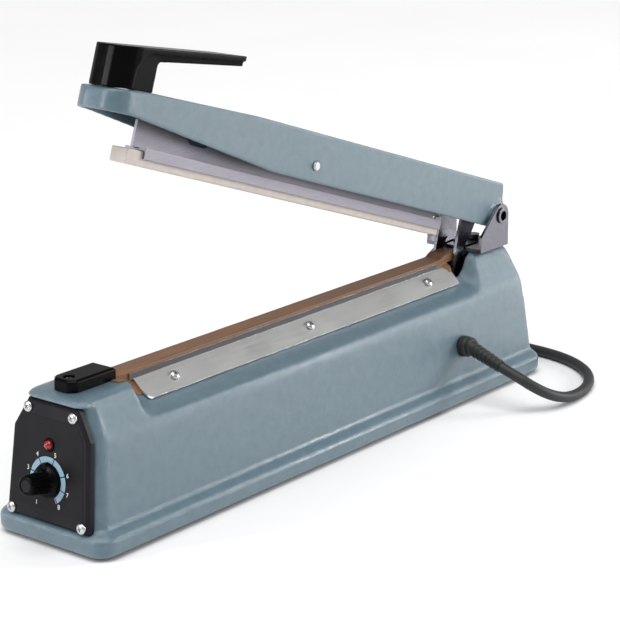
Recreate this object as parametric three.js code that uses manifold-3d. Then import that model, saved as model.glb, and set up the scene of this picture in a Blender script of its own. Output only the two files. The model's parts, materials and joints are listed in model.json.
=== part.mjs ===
// Hand impulse heat sealer: a cast base holds a platen with a heating element under PTFE tape, and a
// sprung press arm carries a rocking bar with a silicone strip that closes down onto the tape.
// Millimetres. +Z is up, +Y points to the hinge end and +X to the operator's right. The parts are drawn
// about the middle of the base, from the underside of its flange, and are moved as one at the end, so
// that the origin is at the bottom centre of the object, without its mains lead.

import * as THREE from "three";
import { mergeVertices } from "three/addons/utils/BufferGeometryUtils.js";
import Module from "manifold-3d";

const wasm = await Module();
wasm.setup();

// ---------------------------------------------------------------- driving dimensions
const gap = 0.3; // clearance kept between pieces that touch
const runningFit = 0.08; // radial clearance of a pin in its hole
const layerGap = 0.1; // clearance between the thin flat layers on the platen

const flange = { halfWidth: 42.7, halfLength: 216, corner: 11, top: 9 };
const wall = { base: 14, crest: 62.5, shoulder: 79.5, thickness: 4 };
const wallHalfWidth = { base: 35.9, crest: 30.2, shoulder: 20.5 };
const block = { frontTop: 84, rearTop: 87, corner: 7, brow: 5.2 }; // the brow overhangs the panel
const panelLean = Math.atan(0.11); // the front wall and its panel lean back
const frontWallY = -210; // the front wall where it meets the flange
const rearWallY = 213;
// where the sloped shoulders start and end
const middle = { front: -175, rear: 171.5, frontBlend: 22, rearBlend: 17 };

const slopeStart = { x: 6.3, z: 79.5 }; // top edge of the sloped shoulder under the side plates
const slopeAngle = THREE.MathUtils.degToRad(41.7);
const slopeLength = 15.6;

const bar = { halfWidth: 6, bottom: 76, top: 84.7, front: -163, rear: 140 };
const tapeTop = 85.6;
const plate = { front: -151.5, rear: 148.5, lipFront: -154.5, lipRear: 137, width: 15.2 };
const plateScrewY = [-123.5, -1.5, 120.5];
const terminalY = { front: -176, rear: 149.2 };
const tapeEnds = { front: -171, rear: 166 };

const openAngle = THREE.MathUtils.degToRad(19);
const hinge = { y: 191.5, z: 108.5 };
const arm = { halfWidth: 18, wall: 2, nose: 384.5, noseCorner: 15 };
const pressPivot = { u: 204.2, v: 1.1 };
const pressBar = { rear: 48, front: 342.6, bottom: -18, halfWidth: 7.75 };
const strip = { front: 355, bottom: -22.2, halfWidth: 6.1 };
const pinRadius = 4.4;
const earX = { inner: 20, outer: 22 };

const knob = { z: 36, length: 17, skirt: 9.2, body: 6.8, end: 5.4 };
const panelThickness = 5.3;
const cordRadius = 3.5;
const footHeight = 2;
const glandY = 131.5;
const glandZ = 34.5;
const reliefTilt = THREE.MathUtils.degToRad(20);
const reliefLength = 24;
const coil = { x: -95, y: 95, inner: 28, outer: 49, layers: 2 }; // three turns beside each other

// ---------------------------------------------------------------- solids
function solid(geometry) {
  const bare = geometry.clone();
  bare.deleteAttribute("normal");
  bare.deleteAttribute("uv");
  const merged = mergeVertices(bare, 1e-4);
  return new wasm.Manifold(
    new wasm.Mesh({
      numProp: 3,
      vertProperties: new Float32Array(merged.attributes.position.array),
      triVerts: new Uint32Array(merged.index.array),
    }),
  );
}

function geometryOf(manifold) {
  const mesh = manifold.getMesh();
  const geometry = new THREE.BufferGeometry();
  const corners = new Float32Array(mesh.triVerts.length * 3);
  mesh.triVerts.forEach((vertex, i) => {
    for (let k = 0; k < 3; k++) corners[3 * i + k] = mesh.vertProperties[mesh.numProp * vertex + k];
  });
  geometry.setAttribute("position", new THREE.BufferAttribute(corners, 3));
  geometry.computeVertexNormals();
  return geometry;
}

const join = (...parts) => parts.reduce((whole, part) => whole.add(part));
const cut = (body, ...tools) => tools.reduce((rest, tool) => rest.subtract(tool), body);

function box(x, y, z) {
  const size = [x, y, z].map(([low, high]) => high - low);
  const geometry = new THREE.BoxGeometry(...size);
  geometry.translate(...[x, y, z].map(([low, high]) => (low + high) / 2));
  return solid(geometry);
}

// A prism over an outline of [a, b] points. along says which axis it is drawn out on: the outline
// lies in (y, z) along x, in (x, z) along y and in (x, y) along z.
function prism(along, outline, low, high) {
  const shape = new THREE.Shape(outline.map(([a, b]) => new THREE.Vector2(a, b)));
  const depth = high - low;
  const geometry = new THREE.ExtrudeGeometry(shape, { depth, bevelEnabled: false });
  const basis = {
    x: [[0, 1, 0], [0, 0, 1], [1, 0, 0], [low, 0, 0]],
    y: [[1, 0, 0], [0, 0, 1], [0, -1, 0], [0, high, 0]],
    z: [[1, 0, 0], [0, 1, 0], [0, 0, 1], [0, 0, low]],
  }[along].map((v) => new THREE.Vector3(...v));
  const place = new THREE.Matrix4().makeBasis(basis[0], basis[1], basis[2]).setPosition(basis[3]);
  return solid(geometry.applyMatrix4(place));
}

// A turned piece. profile lists [radius, height] from the axis back to the axis, or right round.
function turned(profile, segments = 24) {
  const area = profile.reduce((sum, [r, h], i) => {
    const [nextR, nextH] = profile[(i + 1) % profile.length];
    return sum + r * nextH - nextR * h;
  }, 0);
  const upwards = area > 0 ? profile : profile.toReversed(); // so that the faces point outwards
  const points = upwards.map(([r, h]) => new THREE.Vector2(r, h));
  const geometry = new THREE.LatheGeometry(points, segments);
  geometry.rotateX(Math.PI / 2); // the turning axis becomes +Z
  return solid(geometry);
}

function rod(radius, low, high, segments = 20) {
  return turned([[0, low], [radius, low], [radius, high], [0, high]], segments);
}

const place = (body, x, y, z) => body.translate([x, y, z]);
const alongX = (body) => body.rotate([0, 90, 0]); // +Z becomes +X
const alongPanel = (body) => body.rotate([90 - THREE.MathUtils.radToDeg(panelLean), 0, 0]);
const mirrored = (body) => body.mirror([1, 0, 0]);
const largest = (body) => body.decompose().sort((a, b) => b.volume() - a.volume())[0];

// A closed skin through rings of points that all have the same count, capped at both ends.
function loft(rings) {
  const count = rings[0].length;
  const vertices = rings.flat(2);
  const index = [];
  for (let r = 0; r + 1 < rings.length; r++) {
    for (let i = 0; i < count; i++) {
      const j = (i + 1) % count;
      const [a, b] = [r * count + i, r * count + j];
      const [c, d] = [a + count, b + count];
      index.push(a, b, d, a, d, c);
    }
  }
  const cap = (ring, first, flip) => {
    const spread = (k) => Math.max(...ring.map((p) => p[k])) - Math.min(...ring.map((p) => p[k]));
    const flat = [0, 1, 2].sort((p, q) => spread(q) - spread(p)).slice(0, 2).sort();
    const outline = ring.map((p) => new THREE.Vector2(p[flat[0]], p[flat[1]]));
    const turn = THREE.ShapeUtils.isClockWise(outline);
    for (const [a, b, c] of THREE.ShapeUtils.triangulateShape(turn ? outline.toReversed() : outline, [])) {
      const real = [a, b, c].map((i) => first + (turn ? count - 1 - i : i));
      const area = new THREE.Vector2().subVectors(outline[real[1] - first], outline[real[0] - first]);
      const other = new THREE.Vector2().subVectors(outline[real[2] - first], outline[real[0] - first]);
      const sameTurn = area.cross(other) > 0 === !turn; // the triangle runs the way of its ring
      const [p, q, s] = sameTurn ? real : [real[0], real[2], real[1]];
      index.push(...(flip ? [p, s, q] : [p, q, s]));
    }
  };
  cap(rings[0], 0, true);
  cap(rings.at(-1), (rings.length - 1) * count, false);
  const geometry = new THREE.BufferGeometry();
  geometry.setAttribute("position", new THREE.BufferAttribute(new Float32Array(vertices), 3));
  geometry.setIndex(index);
  const made = solid(geometry);
  return made.volume() < 0 ? loft(rings.toReversed()) : made;
}

// A tube of round section along a curve.
function tube(curve, radius, steps, sides) {
  const section = new THREE.Shape();
  for (let i = 0; i < sides; i++) {
    const turn = (2 * Math.PI * (i + 0.5)) / sides;
    const point = [radius * Math.cos(turn), radius * Math.sin(turn)];
    if (i) section.lineTo(...point);
    else section.moveTo(...point);
  }
  return new THREE.ExtrudeGeometry(section, { steps, extrudePath: curve, bevelEnabled: false });
}

// Points of an arc about [a, b], counted from the first axis.
function arc([a, b], radius, from, to, steps) {
  return Array.from({ length: steps + 1 }, (_, i) => {
    const turn = from + ((to - from) * i) / steps;
    return [a + radius * Math.cos(turn), b + radius * Math.sin(turn)];
  });
}

// A rectangle with round corners as [x, y] points, anticlockwise from the right side.
function roundedRectangle(left, right, front, rear, radius, steps = 5) {
  const quarter = Math.PI / 2;
  const corners = [
    [right - radius, front + radius, -quarter],
    [right - radius, rear - radius, 0],
    [left + radius, rear - radius, quarter],
    [left + radius, front + radius, 2 * quarter],
  ];
  return corners.flatMap(([x, y, start]) => arc([x, y], radius, start, start + quarter, steps));
}

const root = new THREE.Group();
const armGroup = new THREE.Group(); // drawn with the arm closed, then swung open about the hinge
const panelGroup = new THREE.Group(); // drawn on the leaning front wall, with +Z pointing out of it

const paints = {
  castPaint: [0x7a949f, 0.45, 0.25],
  blackPlastic: [0x17171a, 0.25, 0],
  panelPlastic: [0x35323a, 0.5, 0],
  steel: [0xb9b9bc, 0.35, 1],
  zinc: [0xa9a7ae, 0.4, 1],
  aluminium: [0xcfcdd4, 0.45, 1],
  brass: [0xb8954a, 0.4, 1],
  copper: [0xa8622f, 0.45, 0.6],
  element: [0x8a8580, 0.4, 1],
  ptfe: [0x8a5a3c, 0.4, 0],
  glassCloth: [0xcabf9a, 0.7, 0],
  silicone: [0xe3d9d0, 0.6, 0],
  rubber: [0x1c1c1e, 0.8, 0],
  redLens: [0xb01414, 0.15, 0],
  board: [0x2f6b3c, 0.6, 0],
};

function add(name, body, paint, group = root) {
  const [color, roughness, metalness] = paints[paint];
  const material = new THREE.MeshStandardMaterial({ color, roughness, metalness });
  const mesh = new THREE.Mesh(geometryOf(body), material);
  mesh.name = name;
  group.add(mesh);
  return mesh;
}

// A screw standing on +Z with its head's underside at height 0.
function screw({ headRadius, headHeight, shankRadius, length, dome = 0.6 }) {
  return turned([
    [0, -length],
    [shankRadius, -length],
    [shankRadius, 0],
    [headRadius, 0],
    [headRadius, headHeight * (1 - dome)],
    [headRadius * 0.7, headHeight * 0.85],
    [headRadius * 0.3, headHeight],
    [0, headHeight],
  ], 16);
}

// ---------------------------------------------------------------- base casting
const lean = Math.tan(panelLean);
const frontY = (z) => frontWallY + lean * (z - wall.base);
const rearY = (z) => rearWallY - 0.065 * (z - wall.base);

// One level of the casting, frontHalfWidth wide at the front end. inset shrinks it for the hollow.
function castingRing({ z, halfWidth, frontHalfWidth = halfWidth, front, rear, corner, inset = 0 }) {
  const w = halfWidth - inset;
  const ring = roundedRectangle(-w, w, front + inset, rear - inset, Math.max(corner - inset, 2));
  return ring.map(([x, y]) => {
    const low = z > wall.shoulder && y < 0; // the front block is lower than the rear one
    const spread = y < 0 ? (frontHalfWidth - inset) / w : 1;
    return [x * spread, y, low ? wall.shoulder + (z - wall.shoulder) * frontShare : z];
  });
}
const frontShare = (block.frontTop - wall.shoulder) / (block.rearTop - wall.shoulder);

function castingBlock(inset) {
  const { halfWidth, halfLength, corner, top } = flange;
  const flangeRing = (z, side, front, rear, radius) => castingRing({
    z, halfWidth: halfWidth - side, front: -halfLength + front, rear: halfLength - rear, corner: radius,
  });
  const level = (z, width, frontHalfWidth, frontInset, rearInset) => castingRing({
    z, halfWidth: width, frontHalfWidth, front: frontY(z) + frontInset, rear: rearY(z) - rearInset,
    corner: block.corner, inset,
  });
  const { base, crest, shoulder } = wallHalfWidth;
  const wallRings = [level(wall.base, base, base, 0, 0), level(wall.crest, crest, crest, 0, 0)];
  if (inset) {
    const roof = block.rearTop - inset;
    return loft([
      level(-1, base, base, 0, 0), ...wallRings, level(roof - 3, shoulder, shoulder, 1.6, 1.6),
      level(roof, 19, 20, 4, 4),
    ]);
  }
  const { rearTop, brow } = block;
  return loft([
    flangeRing(0, 1.6, 1.6, 1.6, corner - 1.6),
    flangeRing(2.2, 0, 0, 0, corner),
    flangeRing(top, 0, 0, 0, corner),
    flangeRing(top + 2.2, 1.8, 1.4, 1, corner - 1),
    ...wallRings,
    level(wall.shoulder, shoulder, 23, 0.2, 0.6),
    level(wall.shoulder + 0.4, shoulder - 0.3, 23, -brow, 0.7),
    level(rearTop - 3.5, 19, 22.8, -brow, 1.6),
    level(rearTop - 1, 17.6, 22, 1.5 - brow, 4),
    level(rearTop, 15, 20.5, 4 - brow, 7),
  ]);
}

// What is cut away above the sloped shoulders between the end blocks. drop lowers it for the hollow.
function shoulderCutter(drop) {
  const stations = 7;
  const ends = [[middle.front, middle.frontBlend], [middle.rear, -middle.rearBlend]];
  const top = 130;
  const section = (y, t) => {
    const wide = y < 0 ? 1.25 : 1;
    const mix = (a, b) => a + (b - a) * t;
    const blend = [
      [60, wall.crest + 1.2 - drop],
      [wallHalfWidth.crest + 0.4, mix(wall.crest + 1.2, wall.crest + 0.8) - drop],
      [mix(wide * wallHalfWidth.shoulder + 3, slopeStart.x + slopeLength * Math.cos(slopeAngle)),
        mix(wall.shoulder + 3, slopeStart.z - slopeLength * Math.sin(slopeAngle)) - drop],
      [mix(wide * wallHalfWidth.shoulder, slopeStart.x), mix(block.rearTop + 2, slopeStart.z) - drop],
    ];
    const right = [...blend];
    const left = blend.map(([x, z]) => [-x, z]).reverse();
    return [...right, ...left, [-60, top], [60, top]].map(([x, z]) => [x, y, z]);
  };
  const rings = [];
  const [[front, frontStep], [rear, rearStep]] = ends;
  for (let i = 0; i <= stations; i++) {
    const s = i / stations;
    rings.push(section(front + frontStep * s, s * s * (3 - 2 * s)));
  }
  for (let i = stations; i >= 0; i--) {
    const s = i / stations;
    rings.push(section(rear + rearStep * s, s * s * (3 - 2 * s)));
  }
  return loft(rings);
}

const postPlaces = [[-1, -1], [1, -1], [-1, 1], [1, 1]].map(([sx, sy]) => [sx * 26, sy * 186]);
const forkSlot = { halfWidth: 12.5, front: 150.8, rear: 169.5 };
const forkPlate = { inner: 7, outer: 9 };

// Cuts a screw hole of the given radius square to the right-hand slope, and its twin on the left.
const onSlope = (along, height) => ({
  x: slopeStart.x + along * Math.cos(slopeAngle) + height * Math.sin(slopeAngle),
  z: slopeStart.z - along * Math.sin(slopeAngle) + height * Math.cos(slopeAngle),
});
function squareToSlope(body, y, along = 7, height = 0) {
  const { x, z } = onSlope(along, height);
  return place(body.rotate([0, THREE.MathUtils.radToDeg(slopeAngle), 0]), x, y, z);
}
const slopeHoles = (radius) => plateScrewY.flatMap((y) => {
  const hole = squareToSlope(rod(radius, -9, 6, 12), y);
  return [hole, mirrored(hole)];
});

function panelPlace(body, x, y) {
  const z = knob.z + y * Math.cos(panelLean);
  return place(alongPanel(body), x, frontY(z), z);
}
const wallLean = Math.atan((wallHalfWidth.base - wallHalfWidth.crest) / (wall.crest - wall.base));
const glandWallX = wallHalfWidth.base - (glandZ - wall.base) * Math.tan(wallLean);
const glandFace = 41;
const glandPlace = (body) =>
  place(body.rotate([0, 90 - THREE.MathUtils.radToDeg(wallLean), 0]), glandWallX, glandY, glandZ);
const panelScrewPlaces = [[-16.9, 38.4], [16.9, 38.4], [-26.8, -20.8], [26.8, -20.8]];
const lensPlace = [0, 20.2];

function baseCasting() {
  const shell = cut(castingBlock(0), shoulderCutter(0));
  const hollow = cut(castingBlock(wall.thickness), shoulderCutter(wall.thickness + 2.5));
  const posts = postPlaces.map(([x, y]) => place(rod(5, 3.2, 74, 12), x, y, 0));
  const body = shell.subtract(hollow).add(join(...posts).intersect(castingBlock(1)));
  const recess = prism("z", roundedRectangle(-38.7, 38.7, -212, 212, 8), -1, 3);
  const groove = box([-bar.halfWidth - gap, bar.halfWidth + gap], [bar.front - gap, bar.rear + gap],
    [bar.bottom - gap, 100]);
  const slot = box([-forkSlot.halfWidth, forkSlot.halfWidth], [forkSlot.front, forkSlot.rear], [60, 100]);
  const sideSlots = [-1, 1].map((side) => box(
    side < 0 ? [-10.2, -5.8] : [5.8, 10.2], [forkSlot.rear - 1, 184], [60, 100]));
  const window = panelPlace(prism("z", roundedRectangle(-17, 17, -16, 28, 3), -9, 5), 0, 0);
  const panelSeat = panelPlace(prism("z", panelOutline(-gap), 0, 12), 0, 0);
  const screwHoles = panelScrewPlaces.map(([x, y]) => panelPlace(rod(1.8, -9, 5, 12), x, y));
  const postHoles = postPlaces.map(([x, y]) => place(rod(1.9, 2, 16, 12), x, y, 0));
  const terminalHoles = Object.values(terminalY).map((y) => place(rod(3, 66, 90, 12), 0, y, 0));
  const coverHole = place(rod(1.8, 70, 90, 12), 0, frontCover.screwY, 0);
  const glandHole = glandPlace(rod(5.6, -12, 12, 16));
  const boltHoles = boltY.map((y) => place(rod(2.9, 60, 92, 12), 0, y, 0));
  return cut(body, recess, groove, slot, ...sideSlots, window, panelSeat, ...screwHoles, ...postHoles,
    ...terminalHoles, coverHole, glandHole, ...boltHoles, ...slopeHoles(1.8));
}

// ---------------------------------------------------------------- underside
function underside() {
  const outline = roundedRectangle(-38.2, 38.2, -211.5, 211.5, 7.5);
  const holes = postPlaces.map(([x, y]) => place(rod(2.2, -1, 5, 12), x, y, 0));
  add("bottom_cover", cut(prism("z", outline, 1.2, 2.7), ...holes), "zinc");
  postPlaces.forEach(([x, y], i) => {
    const foot = turned([
      [2.2, 0.4], [2.2, 0.9], [8, 0.9], [8.5, -footHeight], [4.2, -footHeight], [4.2, -1], [2.2, -1],
      [2.2, 0.4],
    ], 24);
    add(`foot_${i + 1}`, place(foot, x, y, 0), "rubber");
    const fastener = screw({ headRadius: 3.6, headHeight: 0.6, shankRadius: 1.6, length: 14 });
    add(`foot_screw_${i + 1}`, place(fastener.rotate([180, 0, 0]), x, y, -1.2), "steel");
  });
}

// ---------------------------------------------------------------- control panel
function panelOutline(inset) {
  const [low, mid, high] = [-24.3 + inset, 26.6, 43.2 - inset];
  const [wide, middleWidth, narrow] = [31.3 - inset, 28.7 - inset, 19 - 0.8 * inset];
  const right = [[wide, low], [middleWidth, mid], [narrow, high]];
  return [...right, ...right.map(([x, y]) => [-x, y]).reverse()];
}

function controlPanel() {
  const ring = (inset, z) => panelOutline(inset).map(([x, y]) => [x, y, z]);
  const body = loft([ring(0, gap), ring(0, 3), ring(1.6, panelThickness)]);
  const holes = panelScrewPlaces.map(([x, y]) => place(rod(2, -1, 9, 12), x, y, 0));
  const lensHole = place(rod(3.1, -1, 9, 16), ...lensPlace, 0);
  const bushHole = rod(4.3, -1, 9, 20);
  add("control_panel", cut(body, ...holes, lensHole, bushHole), "panelPlastic", panelGroup);
  panelScrewPlaces.forEach(([x, y], i) => {
    const fastener = screw({ headRadius: 3.1, headHeight: 1.7, shankRadius: 1.6, length: 11.5 });
    add(`panel_screw_${i + 1}`, place(fastener, x, y, panelThickness + 0.2), "steel", panelGroup);
  });
  const lens = turned([
    [0, -13.9], [2.4, -13.9], [2.4, 1], [2.75, 1], [2.75, 6.2], [2.3, 7.4], [1.2, 8.1], [0, 8.3],
  ], 16);
  add("indicator_lens", place(lens, ...lensPlace, 0), "redLens", panelGroup);
}

function timer() {
  const bush = turned([
    [2.88, -12.5], [8, -12.5], [8, -gap], [3.9, -gap], [3.9, 5], [2.88, 5], [2.88, -12.5],
  ], 20);
  add("potentiometer", bush, "zinc", panelGroup);
  add("potentiometer_shaft", rod(2.8, -12, 18, 16), "aluminium", panelGroup);
  const low = panelThickness + 0.5;
  const high = panelThickness + knob.length;
  const body = turned([
    [3.1, low], [knob.skirt, low], [knob.skirt, low + 2.4], [knob.body, low + 3], [knob.end, high - 0.6],
    [knob.end - 0.6, high], [knob.end - 1.5, high], [knob.end - 1.7, high - 0.5], [0, high - 0.5],
    [0, 18.4], [3.1, 18.4], [3.1, low],
  ], 28);
  const pointer = prism("z", [[-1.6, 7], [1.6, 7], [0, 10.8]], low, low + 2.4);
  add("timer_knob", body.add(pointer), "blackPlastic", panelGroup);
  const board = box([-16, 16], [-15, 29], [-15.8, -14.2]);
  add("timer_board", board, "board", panelGroup);
}

// ---------------------------------------------------------------- inside the base
function transformer() {
  const [low, high] = [3.2, 43.2];
  const [front, rear] = [-150, -92];
  const core = box([-24, 24], [front, rear], [low, high]);
  const windows = [-1, 1].map((side) => box(side < 0 ? [-17, -8] : [8, 17],
    [front + 8, rear - 8], [low - 1, high + 1]));
  add("transformer_core", cut(core, ...windows), "zinc");
  const legGap = 8 + gap;
  const winding = box([-16.5, 16.5], [front + 8.5, rear - 8.5], [low + 1, high + 9]);
  const leg = box([-legGap, legGap], [front, rear], [low - 1, high + gap]);
  const yokes = [box([-30, 30], [front, front + 8.4], [0, 60]), box([-30, 30], [rear - 8.4, rear], [0, 60])];
  add("transformer_coil", cut(winding, leg, ...yokes), "copper");
}

const switchButton = { y: 168.5, top: 61.2 };
function microswitch() {
  const body = box([-5, 5], [154, 181], [40.5, 56.5]);
  const well = place(rod(1.7 + runningFit, 50, 60, 12), 0, switchButton.y, 0);
  add("microswitch_body", cut(body, well), "blackPlastic");
  add("microswitch_button", place(rod(1.7, 53, switchButton.top, 12), 0, switchButton.y, 0), "redLens");
  const foot = box([-9, 9], [120, 184], [3, 4.5]);
  const post = box([-6, 6], [156, 158], [4, 40.2]);
  const shelf = box([-6, 6], [156, 181], [38.6, 40.2]);
  const tab = cut(box([-1, 1], [121, 135], [4, 33]), place(alongX(rod(1.8, -5, 5, 12)), 0, 128, 28.5));
  add("switch_bracket", join(foot, post, shelf, tab), "zinc");
}

// ---------------------------------------------------------------- platen
const terminalCollar = 84.9;
function platen() {
  const { halfWidth, front, rear, bottom, top } = bar;
  add("platen_bar", box([-halfWidth, halfWidth], [front, rear], [bottom, top]), "aluminium");
  const insulation = [top + layerGap, top + layerGap + 0.2];
  add("platen_insulation", box([-5.5, 5.5], [front, rear], insulation), "glassCloth");
  const wire = [insulation[1] + 0.1, insulation[1] + 0.25];
  const eyes = Object.values(terminalY).map((y) => place(rod(3.2, ...wire, 20), 0, y, 0));
  const holes = Object.values(terminalY).map((y) => place(rod(1.9, 80, 90, 16), 0, y, 0));
  const ribbon = box([-1.3, 1.3], [terminalY.front, terminalY.rear], wire);
  add("heating_element", cut(join(ribbon, ...eyes), ...holes), "element");
  Object.entries(terminalY).forEach(([end, y]) => {
    const seat = end === "front" ? block.frontTop + gap : slopeStart.z + gap;
    const post = turned([
      [0, 68], [2.4, 68], [2.4, seat], [4, seat], [4, terminalCollar], [1.5, terminalCollar],
      [1.5, 85.5], [3, 85.5], [3, 86.1], [2, 86.6], [0, 86.6],
    ], 20);
    add(`${end}_terminal`, place(post, 0, y, 0), "brass");
  });
}

// The tape is a thin hat section: over the bar, down both sides and out under the side plates.
function tapeCover() {
  const thickness = 0.25;
  const outerX = bar.halfWidth + 0.55;
  const side = (height, x, rise) => {
    const foot = onSlope(10.5, height);
    const bend = onSlope((x - slopeStart.x - height * Math.sin(slopeAngle)) / Math.cos(slopeAngle), height);
    return [[foot.x, foot.z], [bend.x, Math.max(bend.z, 0)], [x, tapeTop - (outerX - x) + rise]];
  };
  const section = (y, rise) => {
    const outer = side(gap + thickness, outerX, rise);
    const inner = side(gap, outerX - thickness, rise);
    const right = [...outer];
    const flip = (points) => points.map(([x, z]) => [-x, z]);
    const loop = [...right, ...flip(outer).reverse(), ...flip(inner), ...inner.reverse()];
    return loop.map(([x, z]) => [x, y, z]);
  };
  const stations = [
    [tapeEnds.front, 1], [bar.front - 2.5, 0], [terminalY.rear - 5, 0], [terminalY.rear - 3.2, 1.4],
    [terminalY.rear, 2.6], [tapeEnds.rear - 12, 2.8], [tapeEnds.rear, 2],
  ];
  const body = loft(stations.map(([y, rise]) => section(y, rise)));
  const casting = cut(castingBlock(0), shoulderCutter(0)).translate([0, 0, gap]);
  const forkRoom = [-1, 1].map((side) => box(side < 0 ? [-20, -outerX - 0.1] : [outerX + 0.1, 20],
    [terminalY.rear + 4.8, 200], [60, 100]));
  add("ptfe_cover", largest(cut(body, casting, ...forkRoom, ...slopeHoles(1.9))), "ptfe");
}

function sidePlates() {
  const [under, over] = [0.85, 1.85];
  const lipX = [bar.halfWidth + 0.85, bar.halfWidth + 1.75];
  const at = (x, height) => onSlope((x - slopeStart.x - height * Math.sin(slopeAngle)) / Math.cos(slopeAngle),
    height);
  const edge = [onSlope(plate.width, over), onSlope(plate.width, under)];
  const inner = at(lipX[0], under);
  const outer = at(lipX[1], over);
  const edges = edge.map(({ x, z }) => [x, z]);
  const sheet = [[lipX[0], outer.z], [outer.x, outer.z], ...edges, [inner.x, inner.z]];
  const lip = [[lipX[0], outer.z - 0.5], [lipX[1], outer.z - 0.5], [lipX[1], 84.1], [lipX[0], 84.1]];
  const cornerX = edge[0].x;
  const corner = (y, direction, radius) => {
    const centre = [cornerX - radius, y + direction * radius];
    const round = arc(centre, radius, -direction * Math.PI / 2, 0, 6);
    return prism("z", direction > 0 ? [...round, [cornerX + 1, y + radius], [cornerX + 1, y - 1],
      [centre[0], y - 1]] : [...round, [cornerX + 1, y - radius], [cornerX + 1, y + 1], [centre[0], y + 1]],
    60, 90);
  };
  const body = join(
    prism("y", sheet, plate.front, plate.rear),
    prism("y", lip, plate.lipFront, plate.lipRear),
  );
  const holes = plateScrewY.map((y) => squareToSlope(rod(1.9, -9, 6, 12), y));
  const right = cut(body, corner(plate.front, 1, 6), corner(plate.rear, -1, 2), ...holes);
  add("side_plate_right", right, "steel");
  add("side_plate_left", mirrored(right), "steel");
  plateScrewY.forEach((y, i) => {
    const fastener = screw({ headRadius: 3.1, headHeight: 2.2, shankRadius: 1.4, length: 7.5, dome: 0.8 });
    const seated = squareToSlope(fastener, y, 7, over + 0.15);
    add(`side_plate_screw_right_${i + 1}`, seated, "steel");
    add(`side_plate_screw_left_${i + 1}`, mirrored(seated), "steel");
  });
}

// ---------------------------------------------------------------- front terminal cover
const frontCover = { front: -200.5, rear: -166.3, halfWidth: 8.8, top: 91.3, screwY: -194 };
function terminalCover() {
  const { front, rear, halfWidth, top, screwY } = frontCover;
  const floor = block.frontTop + gap;
  const outline = (inset) => [
    [halfWidth - inset, rear - inset], [-halfWidth + inset, rear - inset],
    [-halfWidth + inset, front + 4 + inset / 2], [-halfWidth + 4, front + inset],
    [halfWidth - 4, front + inset], [halfWidth - inset, front + 4 + inset / 2],
  ];
  const ring = (inset, z) => outline(inset).map(([x, y]) => [x, y, z]);
  const body = loft([ring(0, floor), ring(0, top - 1.3), ring(1.3, top)]);
  const pocket = box([-7.2, 7.2], [terminalY.front - 6, rear + 1], [floor - 1, top - 1.8]);
  const hole = place(turned([[0, 80], [1.8, 80], [1.8, top - 2.4], [3.3, top - 2.4], [3.3, top + 1],
    [0, top + 1]], 16), 0, screwY, 0);
  add("front_cover", cut(body, pocket, hole), "blackPlastic");
  const fastener = screw({ headRadius: 3, headHeight: 1.5, shankRadius: 1.4, length: 13 });
  add("front_cover_screw", place(fastener, 0, screwY, top - 2.2), "steel");
}

// ---------------------------------------------------------------- hinge
const boltY = [174.5, 190.5];
function hingeBracket() {
  const floorZ = [block.rearTop + gap, block.rearTop + gap + 2.4];
  const [front, rear] = [167.4, 199.3];
  const floor = box([-earX.outer, earX.outer], [front, rear], floorZ);
  const top = arc([hinge.y, hinge.z], 7.8, 0, THREE.MathUtils.degToRad(142), 10);
  const ear = [[front, floorZ[0]], [rear, floorZ[0]], ...top, [front + 0.8, 97.5]];
  const ears = [-1, 1].map((side) => prism("x", ear, side < 0 ? -earX.outer : earX.inner,
    side < 0 ? -earX.inner : earX.outer));
  const slots = [-1, 1].map((side) => box(side < 0 ? [-9.8, -6.2] : [6.2, 9.8],
    [front - 1, 183.5], [80, 95]));
  const pinHole = place(alongX(rod(pinRadius + runningFit, -30, 30, 24)), 0, hinge.y, hinge.z);
  const boltHoles = boltY.map((y) => place(rod(2.9, 80, 95, 12), 0, y, 0));
  add("hinge_bracket", cut(join(floor, ...ears), ...slots, pinHole, ...boltHoles), "zinc");
  boltY.forEach((y, i) => {
    const head = prism("z", arc([0, 0], 4.6, 0, (5 * Math.PI) / 3, 5), 0, 3.2);
    const shank = rod(2.4, -15, 0.5, 12);
    add(`bracket_bolt_${i + 1}`, place(head.add(shank), 0, y, floorZ[1] + 0.2), "steel");
  });
  const reach = earX.outer + 1.4;
  const pin = turned([
    [3.2, -reach], [5.3, -reach], [5.3, -reach + 1], [pinRadius, -reach + 1.1], [pinRadius, reach - 1.1],
    [5.3, reach - 1], [5.3, reach], [3.2, reach], [3.2, -reach],
  ], 24);
  add("hinge_pin", place(alongX(pin), 0, hinge.y, hinge.z), "steel");
}

// ---------------------------------------------------------------- arm, drawn closed from the hinge
// u runs forward from the hinge along the arm and v up from it, so u is -Y here.
const armTop = [[-1, 21.4], [264, 20.6], [317, 18.6], [354.5, 17.3], [375, 15.6], [382, 14.6], [384.5, 12.3]];
const armUnder = [[384.5, 2.2], [366.8, 2.1], [242.4, -8.7], [3, -9.4], [-5, -6], [-7, 0], [-5, 8]];
const sideOf = (points) => points.map(([u, v]) => [-u, v]);

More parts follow.
